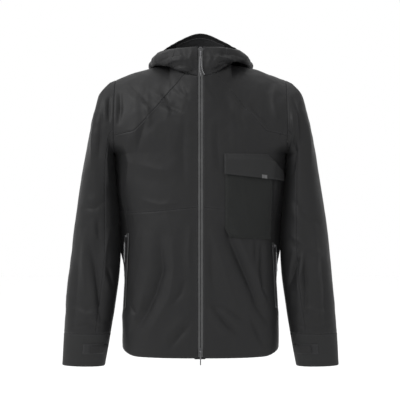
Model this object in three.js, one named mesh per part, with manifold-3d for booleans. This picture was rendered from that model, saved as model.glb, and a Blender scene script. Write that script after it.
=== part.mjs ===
// Hooded hardshell jacket, laid out as it hangs zipped up with the hood down.
// Millimetres, +Z up, the front of the jacket faces -Y and the wearer's left is +X.
// Heights are drawn from the back neck seam; the finished jacket is then placed so that the origin
// is the underside of its hanger loop.
import * as THREE from "three";
import { mergeVertices } from "three/addons/utils/BufferGeometryUtils.js";
import Module from "manifold-3d";

// ---------- driving dimensions ----------
const seamGap = 0.3; // between pieces that are sewn edge to edge
const layerGap = 0.5; // between pieces that lie on each other
const shellThickness = 2; // the laminated shell cloth with its seam tape
const trimThickness = 1.2; // tapes, tabs and patches

const hemZ = -718;
const armpitZ = -215;
const chestSeamZ = -364; // between the chest panels and the lower fronts
const backSeamZ = -128; // between the yoke and the back panel
const armholeX = 216; // the set-in sleeves start at this plane
const sideSeamY = 12; // between the fronts and the back
const neckHalfWidth = 78;
const neckFrontZ = -26;
const neckSideZ = 14;
const neckSideY = 5;
const neckBackY = 68;
const shoulderTipZ = -27;
const sectionPower = 2.7; // how square the torso's sections are
const zipHemY = -132; // the front edge at the hem
const zipLean = 0.04; // how far the straight front zip leans back, per mm of height
const collarTopZ = 47;

const zipOpening = 13.6; // between the two front edges
const tapeHalf = 9; // from the zip's middle to a tape's sewn edge
const tapeGap = 0.6; // between the two tapes
const tapeDepth = 3.4; // of the tapes behind the front edges
const teethHalf = 2.6;
const teethDepth = 1.8;
const sliderWidth = 9;
const sliderHeight = 15;
const sliderDepth = 4;
const topSliderZ = 33;
const bottomSliderZ = -700;
const pullLength = 11; // the metal pull that a cord is threaded through
const cordDiameter = 2.4;
const bottomPullLength = 34;

const pocketLeftX = 60; // the chest pocket, on the wearer's left
const pocketRightX = 180;
const pocketTopZ = -213;
const pocketBottomZ = -430;
const pocketBulk = 4.4; // how far the pocket stands off the chest
const flapEndX = 170; // the flap is sewn on from pocketLeftX to here
const flapWidest = 203; // its free corner
const flapDrop = 66;
const flapSlope = 15; // how much shorter the flap is towards the zip
const flapHingeDrop = 4; // from the hinge line to the flap's top edge

const handZipTopZ = -414; // of the wearer's right zip
const leftZipTopZ = -438; // the wearer's left one starts under the chest pocket
const handZipBottomZ = -601;
const handZipShare = 0.955; // of the torso's half width
const handZipWidth = 12;
const handTeethWidth = 4;
const handSliderWidth = 6.4;
const handSliderHeight = 11;
const handSliderDepth = 2.6;
const handBagX = 188; // the outer edge of the pocket bags
const handBagWidth = 130;

const hemBand = 26;
const cuffRing = 13.35; // the sleeve ring that the cuff is sewn on at
const tabThickness = 1.6;

// Half widths and back depths of the torso by height.
const halfWidths = [
  [hemZ, 196], [-690, 198.5], [-620, 197.5], [-400, 188.5], [-310, 205], [armpitZ, armholeX],
];
const backDepths = [
  [hemZ, 118], [-600, 108], [-470, 102], [-330, 108], [armpitZ, 114], [-120, 117], [neckSideZ, 104],
];

// ---------- small maths ----------
const clamp01 = (t) => Math.min(1, Math.max(0, t));
const smooth = (t) => clamp01(t) ** 2 * (3 - 2 * clamp01(t));
const mix = (a, b, t) => a + (b - a) * t;
const radians = THREE.MathUtils.degToRad;
const point = (x, y, z) => new THREE.Vector3(x, y, z);
const counted = (count) => Array.from({ length: count }, (_, i) => i);
const steps = (count, from = 0, to = 1) => counted(count + 1).map((i) => mix(from, to, i / count));

// Values read at one place from [place, value, value...] rows, on a smooth curve through them.
function along(rows, place) {
  const last = rows.length - 1;
  const k = Math.max(0, rows.findIndex((row, i) => i === last - 1 || place < rows[i + 1][0]));
  const [before, a, b, after] = [rows[Math.max(0, k - 1)], rows[k], rows[k + 1], rows[Math.min(last, k + 2)]];
  const span = b[0] - a[0];
  const t = clamp01((place - a[0]) / span);
  return a.slice(1).map((_, i) => {
    const [p, q, r, s] = [before, a, b, after].map((row) => row[i + 1]);
    const leave = k > 0 ? ((r - p) / (b[0] - before[0])) * span : r - q;
    const arrive = k + 2 <= last ? ((s - q) / (after[0] - a[0])) * span : r - q;
    const [t2, t3] = [t * t, t * t * t];
    return (2 * t3 - 3 * t2 + 1) * q + (t3 - 2 * t2 + t) * leave + (3 * t2 - 2 * t3) * r + (t3 - t2) * arrive;
  });
}

// ---------- solids ----------
const wasm = await Module();
wasm.setup();

// A closed geometry from points and triangles, turned to face out.
function closedGeometry(points, faces) {
  const cross = point(0, 0, 0);
  const part = ([a, b, c]) => points[a].dot(cross.crossVectors(points[b], points[c]));
  const volume = faces.reduce((sum, face) => sum + part(face), 0);
  const turned = volume < 0 ? faces.map(([a, b, c]) => [a, c, b]) : faces;
  const geometry = new THREE.BufferGeometry();
  geometry.setAttribute("position", new THREE.Float32BufferAttribute(points.flatMap((p) => p.toArray()), 3));
  geometry.setIndex(turned.flat());
  return geometry;
}

function solidOf(geometry) {
  const bare = geometry.clone();
  bare.deleteAttribute("normal");
  bare.deleteAttribute("uv");
  const merged = mergeVertices(bare, 1e-4);
  return new wasm.Manifold(new wasm.Mesh({
    numProp: 3,
    vertProperties: new Float32Array(merged.attributes.position.array),
    triVerts: new Uint32Array(merged.index.array),
  }));
}

function geometryOf(solid) {
  const mesh = solid.getMesh();
  const geometry = new THREE.BufferGeometry();
  geometry.setAttribute("position", new THREE.BufferAttribute(new Float32Array(mesh.vertProperties), 3));
  geometry.setIndex(new THREE.BufferAttribute(new Uint32Array(mesh.triVerts), 1));
  return geometry;
}

// The triangles of a grid of rows x columns of points; a wrapped grid is a tube.
function gridFaces(rows, columns, wrapped = false) {
  const faces = [];
  for (let i = 0; i + 1 < rows; i++) {
    for (let j = 0; j + (wrapped ? 0 : 1) < columns; j++) {
      const [a, b] = [i * columns + j, i * columns + ((j + 1) % columns)];
      faces.push([a, b, b + columns], [a, b + columns, a + columns]);
    }
  }
  return faces;
}

// Two copies of one open surface joined round their rims.
function closeBetween(outer, inner, faces) {
  const count = outer.length;
  const edges = new Set(faces.flatMap(([a, b, c]) => [`${a},${b}`, `${b},${c}`, `${c},${a}`]));
  const walls = [];
  for (const edge of edges) {
    const [a, b] = edge.split(",").map(Number);
    if (!edges.has(`${b},${a}`)) walls.push([b, a, a + count], [b, a + count, b + count]);
  }
  const back = faces.map(([a, b, c]) => [a + count, c + count, b + count]);
  return closedGeometry([...outer, ...inner], [...faces, ...back, ...walls]);
}

// A sheet between two distances from a surface; place(u, v, out) gives its points.
function sheet(place, us, vs, from, to, wrapped = false) {
  const layer = (out) => us.flatMap((u) => vs.map((v) => place(u, v, out)));
  return closeBetween(layer(to), layer(from), gridFaces(us.length, vs.length, wrapped));
}

// The outward normal of a surface given by base(u, v); side turns it over.
function normalAt(base, u, v, side) {
  const small = 1e-3;
  const alongU = base(u + small, v).sub(base(u - small, v));
  const alongV = base(u, v + small).sub(base(u, v - small));
  return alongU.cross(alongV).normalize().multiplyScalar(side);
}

function block(fromX, toX, fromY, toY, fromZ, toZ) {
  const geometry = new THREE.BoxGeometry(toX - fromX, toY - fromY, toZ - fromZ);
  return geometry.translate((fromX + toX) / 2, (fromY + toY) / 2, (fromZ + toZ) / 2);
}

// A prism over [x, z] corners of the front view, from one depth to another.
function prism(corners, fromY, toY) {
  const shape = new THREE.Shape(corners.map(([x, z]) => new THREE.Vector2(x, z)));
  const geometry = new THREE.ExtrudeGeometry(shape, { depth: toY - fromY, bevelEnabled: false });
  return geometry.rotateX(Math.PI / 2).translate(0, toY, 0);
}

// The same piece for the other side of the jacket.
function mirrored(geometry) {
  const copy = geometry.index ? geometry.toNonIndexed() : geometry.clone();
  const place = copy.attributes.position;
  const turned = new Float32Array(place.count * 3);
  for (let k = 0; k < place.count; k++) {
    const from = k - (k % 3) + [0, 2, 1][k % 3];
    turned.set([-place.getX(from), place.getY(from), place.getZ(from)], k * 3);
  }
  const result = new THREE.BufferGeometry();
  result.setAttribute("position", new THREE.BufferAttribute(turned, 3));
  return mergeVertices(result, 1e-4);
}

// ---------- torso ----------
const zipY = (z) => zipHemY + (z - hemZ) * zipLean;
const roundSection = (share) => (1 - Math.min(1, Math.abs(share)) ** sectionPower) ** (1 / sectionPower);
const halfWidth = (z) => along(halfWidths, z)[0];
const onNeck = (x) => Math.abs(x) < neckHalfWidth;
const neckShare = (x) => (x / neckHalfWidth) ** 2;
const shoulderSlope = (x) => ((Math.abs(x) - neckHalfWidth) / (armholeX - neckHalfWidth)) ** 1.5;

// The top edge of the torso over x: the neckline, then the ridge of the shoulder.
function topZ(x, isFront) {
  if (onNeck(x)) return mix(isFront ? neckFrontZ : 0, neckSideZ, neckShare(x));
  return mix(neckSideZ, shoulderTipZ, shoulderSlope(x));
}

// How far forward or back the torso is at a place of the front view.
function torsoY(x, z, isFront) {
  const facing = isFront ? -1 : 1;
  const depth = isFront ? -zipY(z) : along(backDepths, z)[0];
  if (z <= armpitZ) return facing * depth * roundSection(x / halfWidth(z));
  const rise = clamp01((z - armpitZ) / (topZ(x, isFront) - armpitZ));
  const spread = armholeX * (1 + 0.45 * Math.sin(Math.PI * Math.min(0.5, rise)));
  const side = facing * depth * roundSection(x / spread);
  const neckDepth = isFront ? neckSideY - zipY(neckFrontZ) : neckBackY - neckSideY;
  const top = neckSideY + (onNeck(x) ? facing * neckDepth * Math.sqrt(1 - neckShare(x)) : 0);
  return mix(side, top, 1 - (1 - rise ** 2.2) ** (1 / 2.2));
}

// A torso point at a share of its half width; levels 0 to 1 are hem to armpit, 1 to 2 armpit to top edge.
function torsoPoint(share, level, isFront) {
  const z = level <= 1 ? mix(hemZ, armpitZ, level) : mix(armpitZ, topZ(share * armholeX, isFront), level - 1);
  const x = share * (level <= 1 ? halfWidth(z) : armholeX);
  return point(x, torsoY(x, z, isFront), z);
}

// A point in front of the torso at x, z.
function frontPoint(x, z, out = 0) {
  const base = (u, v) => point(u, torsoY(u, v, true), v);
  return base(x, z).addScaledVector(normalAt(base, x, z, 1), out);
}

const neckShares = [0, 0.13, 0.36, 0.62, 0.84, 0.96, 1].map((share) => (share * neckHalfWidth) / armholeX);
const halfShares = [...neckShares, 0.5, 0.65, 0.78, 0.88, 0.95, 0.988, 1];
const shares = [...halfShares.slice(1).reverse().map((share) => -share), ...halfShares];
const levels = [0, 0.06, 0.2, 0.42, 0.632, 0.72, 0.811, 0.9, 1, 1.03, 1.13, 1.35, 1.55, 1.74, 1.88, 1.96, 2];

// A layer of the torso between two distances from it, open at the hem, the neck and the armholes.
function torsoLayer(from, to) {
  const half = gridFaces(levels.length, shares.length);
  const points = [];
  const faces = [];
  for (const isFront of [true, false]) {
    const start = points.length;
    points.push(...levels.flatMap((level) => shares.map((share) => torsoPoint(share, level, isFront))));
    faces.push(...half.map(([a, b, c]) => (isFront ? [a, b, c] : [a, c, b]).map((k) => k + start)));
  }
  const loose = new THREE.BufferGeometry();
  loose.setAttribute("position", new THREE.Float32BufferAttribute(points.flatMap((p) => p.toArray()), 3));
  loose.setIndex(faces.flat());
  const joined = mergeVertices(loose, 1e-2);
  const place = joined.attributes.position;
  const outer = Array.from({ length: place.count }, (_, k) => point(0, 0, 0).fromBufferAttribute(place, k));
  const kept = [];
  for (let k = 0; k < joined.index.count; k += 3) {
    const face = [0, 1, 2].map((i) => joined.index.getX(k + i));
    if (new Set(face).size === 3) kept.push(face);
  }
  const normals = outer.map(() => point(0, 0, 0));
  for (const [a, b, c] of kept) {
    const normal = outer[b].clone().sub(outer[a]).cross(outer[c].clone().sub(outer[a]));
    for (const k of [a, b, c]) normals[k].add(normal);
  }
  normals.forEach((normal) => normal.normalize());
  const layer = (out) => outer.map((p, k) => p.clone().addScaledVector(normals[k], out));
  const whole = solidOf(closeBetween(layer(to), layer(from), kept));
  return whole.intersect(solidOf(block(-armholeX, armholeX, -300, 300, hemZ - 50, 100)));
}

// The seams of the fronts, as [x, z] corners from the zip outwards.
const yokeSeam = [[44, 40], [44, -22], [121, -115], [162, -160], [260, -182]];
const chestSeam = [[0, chestSeamZ + 15], [52, chestSeamZ + 10], [120, chestSeamZ + 3], [260, chestSeamZ]];
const moved = (corners, dz) => corners.map(([x, z]) => [x, z + dz]);
const flipped = (corners) => corners.map(([x, z]) => [-x, z]).reverse();
const shell = torsoLayer(-shellThickness, 0);
const frontHalf = [-300, sideSeamY - seamGap / 2];
const backHalf = [sideSeamY + seamGap / 2, 300];
const insideSeams = { chestTop: moved(yokeSeam, -seamGap), chestBottom: moved(chestSeam, seamGap / 2) };

function cutPanel(corners, [fromY, toY]) {
  return shell.intersect(solidOf(prism(corners, fromY, toY)));
}

function chestPanel() {
  const edge = zipOpening / 2;
  const corners = [[edge, 60], ...insideSeams.chestTop, ...insideSeams.chestBottom.slice().reverse()];
  corners[corners.length - 1][0] = edge;
  return geometryOf(cutPanel(corners, frontHalf));
}

function lowerFront(zip) {
  const edge = zipOpening / 2;
  const [first, ...rest] = moved(chestSeam, -seamGap / 2);
  const corners = [[edge, first[1]], ...rest, [260, hemZ - 10], [edge, hemZ - 10]];
  const panel = cutPanel(corners, frontHalf);
  const slot = onHandZip(block(-1.5, 1.5, -8, 8, -zip.length + 12, -12), zip, 0);
  return geometryOf(panel.subtract(solidOf(slot)));
}

function shoulderYoke() {
  const notchX = yokeSeam[0][0];
  const low = backSeamZ + seamGap / 2;
  const front = prism([...flipped(yokeSeam), ...yokeSeam, [260, 90], [-260, 90]], -300, sideSeamY);
  const notch = block(-notchX, notchX, -300, -20, -300, 90);
  const back = block(-260, 260, sideSeamY, 300, low, 90);
  const region = solidOf(front).subtract(solidOf(notch)).add(solidOf(back));
  return geometryOf(shell.intersect(region));
}

function backPanel() {
  const top = backSeamZ - seamGap / 2;
  return geometryOf(cutPanel([[-260, top], [260, top], [260, hemZ - 10], [-260, hemZ - 10]], backHalf));
}

// A ring cut from a layer inside the hem, from one front edge to the other.
const hemEnd = 17; // the facing and the drawcord stop this far from the zip's middle
function hemRing(from, to, fromZ, toZ) {
  const ring = torsoLayer(from, to).intersect(solidOf(block(-260, 260, -300, 300, fromZ, toZ)));
  return geometryOf(ring.subtract(solidOf(block(-hemEnd, hemEnd, -300, -50, fromZ - 5, toZ + 5))));
}

const facingInside = -shellThickness - layerGap - trimThickness;
const drawcordWidth = 2.4;
const drawcordZ = hemZ + 15;
const drawcordInside = facingInside - layerGap - drawcordWidth;
const hemFacing = () => hemRing(facingInside, facingInside + trimThickness, hemZ + 1, hemZ + hemBand);

function hemDrawcord() {
  const half = drawcordWidth / 2;
  return hemRing(drawcordInside, drawcordInside + drawcordWidth, drawcordZ - half, drawcordZ + half);
}

// A barrel lock that grips the drawcord at the side.
function hemCordLock() {
  const barrel = new THREE.CylinderGeometry(5, 5, 15, 14).rotateX(Math.PI / 2);
  const seat = torsoPoint(0.93, 0.03, true);
  const inward = 5 + seamGap - drawcordInside + 1.2;
  return barrel.translate(seat.x - 0.72 * inward, seat.y + 0.69 * inward, drawcordZ);
}

// Flat bag of a hand pocket, a layer behind the lower front.
const bagInside = -shellThickness - layerGap - trimThickness;
function handPocketBag() {
  const [inner, shoulder, outer] = [handBagX - handBagWidth, handBagX - handBagWidth / 2, handBagX + 52];
  const [top, bottom] = [handZipTopZ - 4, hemZ + hemBand + 6];
  const corners = [[inner, top - 52], [shoulder, top], [outer, top], [outer, bottom], [inner, bottom]];
  const region = solidOf(prism(corners, -300, -30));
  return geometryOf(torsoLayer(bagInside, bagInside + trimThickness).intersect(region));
}

// ---------- sleeves ----------
// The wearer's left sleeve from the armhole to the cuff: place along it, how far its outer edge is
// beyond the armhole and its height, the same for its inner edge, half its depth and how far back
// its middle is.
const sleeveRings = [
  [0, 0, shoulderTipZ, 0, armpitZ, 80, 0],
  [1, 19, -41, 1, -217, 82, 0],
  [2, 37, -63, 1, -220, 84, 1],
  [3, 49, -96, 1.5, -224, 84, 2],
  [4, 59, -134, 1.5, -231, 83, 2],
  [5, 68, -172, 1, -241, 82, 2],
  [6, 76, -212, 0, -258, 80, 2],
  [7, 84, -260, -3, -288, 78, 2],
  [8, 93, -320, -7, -336, 76, 2],
  [9, 102, -385, -11, -396, 73, 0],
  [10, 110, -450, -13, -456, 70, -3],
  [11, 117, -515, -10, -518, 66, -8],
  [12, 123, -580, -2, -581, 61, -13],
  [13, 128, -645, 8, -646, 54, -18],
  [14, 131, -700, 17, -701, 45, -22],
  [15, 133, -747, 26, -749, 37, -24],
];
const sleeveEnd = sleeveRings.length - 1;
const sleevePower = 2.2;
const underStart = radians(112); // the under panel runs from here round the back to the same place
const rounded = (value) => Math.sign(value) * Math.abs(value) ** (2 / sleevePower);

// A point of the left sleeve; the angle runs from the outer edge over the front to the inner edge.
function sleeveBase(place, angle) {
  const [outer, outerZ, inner, innerZ, depth, middleY] = along(sleeveRings, place);
  const [outerX, innerX] = [armholeX + outer, armholeX + inner];
  const [c, s] = [rounded(Math.cos(angle)), rounded(Math.sin(angle))];
  const [midX, midZ] = [(outerX + innerX) / 2, (outerZ + innerZ) / 2];
  const free = point(midX + (outerX - midX) * c, middleY - depth * s, midZ + (outerZ - midZ) * c);
  const sewnZ = mix(midZ, outerZ, Math.cos(angle));
  const armhole = point(midX + (outerX - midX) * c, torsoY(armholeX, sewnZ, s >= 0), sewnZ);
  return armhole.lerp(free, smooth(place / 5));
}

function sleevePoint(place, angle, out) {
  const at = clamp01((place - 0.05) / (sleeveEnd - 0.1)) * (sleeveEnd - 0.1) + 0.05;
  const moved = sleeveBase(place, angle).addScaledVector(normalAt(sleeveBase, at, angle, -1), out);
  moved.x = Math.max(moved.x, place < 3 ? armholeX + seamGap : -Infinity);
  return moved;
}

const sleevePlaces = [0, 0.7, 1.6, 2.6, 3.8, 5, 6.2, 7.5, 9, 10.5, 12, cuffRing - 0.006];
const underGap = 0.008;

function sleeveTop() {
  const angles = steps(14, -underStart + underGap, underStart - underGap);
  return sheet(sleevePoint, sleevePlaces, angles, -shellThickness, 0);
}

function sleeveUnder() {
  const angles = steps(8, underStart + underGap, 2 * Math.PI - underStart - underGap);
  return sheet(sleevePoint, sleevePlaces, angles, -shellThickness, 0);
}

function cuff() {
  const angles = steps(24, 0, 2 * Math.PI).slice(0, -1);
  return sheet(sleevePoint, [cuffRing, 14, 14.6, sleeveEnd], angles, -shellThickness, 0, true);
}

// The closure patch lies on the front of the cuff and the tab on the patch.
const tabFrom = radians(160);
const tabTo = radians(102);
const tabPlaces = [13.86, 14.05, 14.25];
const patchGap = layerGap + 0.2;

function cuffPatch() {
  const angles = steps(5, tabTo - 0.25, tabFrom - 0.25);
  return sheet(sleevePoint, [13.8, 14.05, 14.31], angles, patchGap, patchGap + trimThickness);
}

function cuffTab() {
  const from = patchGap + trimThickness + layerGap;
  return sheet(sleevePoint, tabPlaces, steps(7, tabTo, tabFrom), from, from + tabThickness);
}

// ---------- hood ----------
// How the dropped hood's cloth runs from the neck seam: at each angle from the front, how far out
// and how high it is at its inner fold, inner wall, lowest fold, outer wall and free edge.
const hoodRows = [
  [0, 0, -14, 0, -2, 0, 12, 0, 30, 0, collarTopZ],
  [22, 1, -13, 3, -9, 7, -2, 9, 20, 3, 46],
  [48, 4, 6, 12, 4, 21, 4, 28, 22, 17, 44],
  [72, 7, 19, 20, 16, 35, 11, 43, 28, 27, 44],
  [95, 9, 25, 27, 19, 46, 12, 55, 26, 34, 49],
  [120, 10, 24, 34, 4, 58, -16, 68, 16, 44, 68],
  [150, 12, 16, 42, -34, 66, -98, 80, -10, 52, 92],
  [180, 13, 12, 44, -50, 62, -140, 80, -30, 53, 103],
  [210, 12, 16, 42, -34, 66, -98, 80, -10, 52, 92],
];
const hoodLengths = [0, 0.1, 0.3, 0.55, 0.8, 1];

function neckLoop(angle) {
  const isFront = Math.abs(angle) < 90;
  return mix(isFront ? neckFrontZ : 0, neckSideZ, Math.sin(radians(angle)) ** 2) + 2 * layerGap;
}

function hoodBase(angle, share) {
  const size = Math.min(angle, 360 - angle);
  const row = along(hoodRows, size);
  const seam = neckLoop(angle);
  const profile = hoodLengths.map((at, i) => (i ? [at, row[2 * i - 2], row[2 * i - 1]] : [0, 0, seam]));
  const [out, z] = along(profile, share);
  const [s, c] = [Math.sin(radians(angle)), Math.cos(radians(angle))];
  const deep = c > 0 ? neckSideY - zipY(z) : neckBackY - neckSideY;
  return point(s * (neckHalfWidth + out), neckSideY - c * (deep + out), z);
}

function hoodPoint(angle, share, out) {
  const at = mix(0.004, 0.996, share);
  return hoodBase(angle, share).addScaledVector(normalAt(hoodBase, angle, at, 1), out);
}

const frontAngle = THREE.MathUtils.radToDeg(Math.asin(zipOpening / 2 / neckHalfWidth));
const collarEnd = 42; // the front collar pieces end here
const centreStart = 140; // the hood's middle strip starts here
const hoodShares = [0, 0.1, 0.2, 0.3, 0.45, 0.55, 0.64, 0.74, 0.84, 0.92, 1];
const collarShares = [0, 0.1, 0.3, 0.45, 0.55, 0.68, 0.8, 0.9, 1];
const hoodSheet = (angles, places) => sheet(hoodPoint, angles, places, -shellThickness, 0);
const collar = () => hoodSheet([frontAngle, 9, 15, 22, 29, 35, collarEnd], collarShares);
const hoodSide = () => hoodSheet(steps(10, collarEnd + 0.25, centreStart - 0.25), hoodShares);
const centreAngles = steps(8, centreStart + 0.15, 360 - centreStart - 0.15);
const hoodCentre = () => hoodSheet(centreAngles, hoodShares);

// The stiffened peak, laid inside the free edge at the back.
function hoodPeak() {
  const from = -shellThickness - layerGap;
  return sheet(hoodPoint, centreAngles.slice(1, -1), [0.84, 0.92, 0.98], from - trimThickness, from);
}

// ---------- main zip ----------
// Pieces on the zip are drawn upright at x, depth behind the front edges and height, then leaned with it.
function onZip(geometry, z) {
  return geometry.rotateX(-Math.atan(zipLean)).translate(0, zipY(z), z);
}

const zipMiddle = (hemZ + collarTopZ) / 2;
const zipLength = collarTopZ - hemZ - 6;

function zipTape() {
  const half = zipLength / 2;
  return onZip(block(tapeGap / 2, tapeHalf, tapeDepth, tapeDepth + 1, -half, half), zipMiddle);
}

// Coil teeth on the back of one tape.
function zipTeeth() {
  const back = tapeDepth + 1 + seamGap;
  const half = zipLength / 2 - 2;
  return onZip(block(tapeGap / 2, teethHalf, back, back + teethDepth, -half, half), zipMiddle);
}

function sliderBody(width, height, depth) {
  const shape = new THREE.Shape();
  const [half, nose, tail] = [width / 2, width * 0.3, height / 2];
  shape.moveTo(-half, -tail + 2).lineTo(-nose, -tail).lineTo(nose, -tail).lineTo(half, -tail + 2);
  shape.lineTo(half, tail - 4).lineTo(nose, tail).lineTo(-nose, tail).lineTo(-half, tail - 4).closePath();
  return new THREE.ExtrudeGeometry(shape, { depth, bevelEnabled: false }).rotateX(Math.PI / 2);
}

const barAcross = (radius, length, sides) => {
  return new THREE.CylinderGeometry(radius, radius, length, sides).rotateZ(Math.PI / 2);
};

const pinClearance = 0.25;
const earWidth = 1.2;
const pullWidth = 3.4;
const pinRadius = 0.9;
const pinStandoff = 2.6; // of the pin in front of the slider
const sliderFront = tapeDepth - seamGap; // the slider's back face, behind the front edges

// The slider with the two ears and the pin that its pull swings on.
function zipSlider(z) {
  const plate = solidOf(sliderBody(sliderWidth, sliderHeight, sliderDepth).translate(0, sliderFront, 0));
  const y = sliderFront - sliderDepth;
  const inner = pullWidth / 2 + 0.4;
  const ear = block(inner, inner + earWidth, y - pinStandoff - 1.4, y + 0.5, -2.2, 2.2);
  const pin = barAcross(pinRadius, 2 * inner + 1, 12).translate(0, y - pinStandoff, 0);
  const body = plate.add(solidOf(ear)).add(solidOf(mirrored(ear))).add(solidOf(pin));
  return onZip(geometryOf(body), z);
}

const pinDepth = sliderFront - sliderDepth - pinStandoff;

// A flat pull with an eye round the slider's pin, hanging straight down.
function zipPull(z, length) {
  const eye = barAcross(pinRadius + 1.3, pullWidth, 14);
  const strap = block(-pullWidth / 2, pullWidth / 2, -1.7, -0.6, -length, -0.4);
  const foot = block(-pullWidth / 2, pullWidth / 2, -1.7, 0.5, -length, -length + 2.4);
  const hole = barAcross(pinRadius + pinClearance, pullWidth + 2, 14);
  const body = solidOf(eye).add(solidOf(strap)).add(solidOf(foot)).subtract(solidOf(hole));
  const pin = point(0, pinDepth, 0).applyAxisAngle(point(1, 0, 0), -Math.atan(zipLean));
  return geometryOf(body).translate(0, zipY(z) + pin.y, z + pin.z);
}

// Stops: a crimped piece across the tapes above the top slider and the box below the bottom one.
function zipStop(z, height) {
  return onZip(block(-3.6, 3.6, tapeDepth - seamGap - 1.4, tapeDepth - seamGap, -height / 2, height / 2), z);
}

// The soft windflap inside the zip, sewn beside one tape.
function stormFlap() {
  const y = tapeDepth + 1 + seamGap + teethDepth + layerGap;
  return onZip(block(-15, 12, y, y + trimThickness, -zipLength / 2 + 8, zipLength / 2 - 40), zipMiddle - 14);
}

// ---------- cords on the pulls ----------
// Two loose ends of cord hang from each pull; these are the points that they follow.
const topCords = {
  a: [
    [-1.3, -106.3, 21.6], [-1.4, -106.5, 12], [-1.6, -106.8, 2],
    [-1.5, -107, -8], [-0.6, -107.2, -18], [1.4, -107.3, -27],
  ],
  b: [
    [1.3, -106.3, 21.6], [1.5, -106.5, 12], [2, -106.9, 2],
    [3.5, -107.4, -8], [6.2, -107.8, -16], [9.6, -108.1, -24],
  ],
};
const leftHandCords = {
  a: [
    [189.3, -59.8, -461.9], [189.4, -60.1, -473], [189.6, -60.5, -485],
    [189.9, -61.3, -498], [190.2, -62.5, -511],
  ],
  b: [
    [190.3, -57.5, -461.9], [190.5, -57.5, -473], [190.6, -57.3, -485],
    [190.9, -56.9, -497], [191.3, -56.2, -509],
  ],
};

function cord(points) {
  const curve = new THREE.CatmullRomCurve3(points.map((p) => point(...p)));
  const section = new THREE.Shape();
  section.absarc(0, 0, cordDiameter / 2, 0, 2 * Math.PI);
  const pieces = Math.ceil(curve.getLength() / (2.5 * cordDiameter));
  const options = { steps: pieces, curveSegments: 4, bevelEnabled: false, extrudePath: curve };
  return new THREE.ExtrudeGeometry(section, options);
}

// ---------- chest pocket ----------
const pocketEdge = (down) => mix(pocketRightX, pocketRightX - 6, down);

// A bellows pocket: flat in the middle and turned in to the chest along three edges.
function chestPocket() {
  const place = (across, down, out) => {
    const x = mix(pocketLeftX + 10 * smooth((down - 0.88) / 0.12), pocketEdge(down), across);
    const z = mix(pocketTopZ - 20, pocketBottomZ + 6 * (1 - across), down);
    const edge = Math.min(across, 1 - across, (1 - down) * 1.6);
    const bulk = smooth(edge / 0.07) * mix(0.35, 1, smooth(down / 0.1));
    return frontPoint(x, z, 1 + (pocketBulk - 1) * bulk + out);
  };
  const across = [0, 0.035, 0.07, ...steps(7, 0.15, 0.85), 0.93, 0.965, 1];
  return sheet(place, across, [0, 0.05, 0.1, 0.3, 0.5, 0.7, 0.9, 0.956, 0.98, 1], 0, trimThickness);
}

const flapTopZ = pocketTopZ - flapHingeDrop;
const flapClearance = 1.4;
const flapOut = (down) => mix(flapClearance, pocketBulk + trimThickness + flapClearance, smooth(down / 0.3));

function flapPoint(across, down, out) {
  const end = mix(flapEndX, flapWidest, smooth(down / 0.75));
  const x = mix(pocketLeftX - 2, end, across);
  const z = flapTopZ - down * mix(flapDrop - flapSlope, flapDrop, across);
  return frontPoint(x, z, flapOut(down) + out);
}

function pocketFlap() {
  return sheet(flapPoint, steps(11), [0, 0.1, 0.2, 0.3, 0.6, 0.92, 1], 0, trimThickness);
}

// A plain folded tab at the flap's lower edge, to lift it by.
function flapTab() {
  const place = (across, down, out) => flapPoint(mix(0.62, 0.7, across), mix(0.9, 0.985, down), out);
  return sheet(place, steps(2), steps(1), trimThickness + layerGap, 2 * trimThickness + layerGap);
}

// ---------- hand pockets ----------
// The straight zip of one hand pocket, as a frame with X across it, Y into the jacket and Z up along it.
function handZip(topAt) {
  const level = (z) => (z - hemZ) / (armpitZ - hemZ);
  const end = (z) => torsoPoint(handZipShare, level(z), true);
  const [top, bottom] = [end(topAt), end(handZipBottomZ)];
  const up = top.clone().sub(bottom);
  const middle = level((topAt + handZipBottomZ) / 2);
  const beside = (share) => torsoPoint(handZipShare + share, middle, true);
  const across = beside(0.01).sub(beside(-0.01));
  const side = across.sub(up.clone().multiplyScalar(across.dot(up) / up.lengthSq())).normalize();
  const length = up.length();
  const upward = up.normalize();
  const inward = upward.clone().cross(side).normalize();
  const matrix = new THREE.Matrix4().makeBasis(side, inward, upward);
  return { matrix, top, length };
}

const handTapeOut = 0.9; // of the tape's back from the cloth
const handTeethBack = -handTapeOut - trimThickness - seamGap;
const handSliderBack = handTeethBack - 1 - seamGap;
const handSliderDrop = 8; // from the zip's top end to its slider

function onHandZip(geometry, zip, down) {
  const centre = zip.top.clone().addScaledVector(point(0, 0, 0).setFromMatrixColumn(zip.matrix, 2), -down);
  return geometry.applyMatrix4(zip.matrix).translate(...centre.toArray());
}

function handTape(zip) {
  const half = handZipWidth / 2;
  const tape = block(-half, half, -handTapeOut - trimThickness, -handTapeOut, -zip.length, 0);
  return onHandZip(tape, zip, 0);
}

function handTeeth(zip) {
  const half = handTeethWidth / 2;
  return onHandZip(block(-half, half, handTeethBack - 1, handTeethBack, -zip.length + 4, -3), zip, 0);
}

const handPin = { inner: 1.6, ear: 1, radius: 0.8, standoff: 2.3 };

function handSlider(zip) {
  const { inner, ear, radius, standoff } = handPin;
  const plate = sliderBody(handSliderWidth, handSliderHeight, handSliderDepth);
  plate.translate(0, handSliderBack, 0);
  const y = handSliderBack - handSliderDepth;
  const cheek = block(inner, inner + ear, y - standoff - 1.2, y + 0.5, -1.8, 1.8);
  const pin = barAcross(radius, 2 * inner + 1, 10).translate(0, y - standoff, 0);
  const body = solidOf(plate).add(solidOf(cheek)).add(solidOf(mirrored(cheek))).add(solidOf(pin));
  return onHandZip(geometryOf(body), zip, handSliderDrop);
}

const handPinDepth = handSliderBack - handSliderDepth - handPin.standoff;
const handPullLength = 16;

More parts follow.
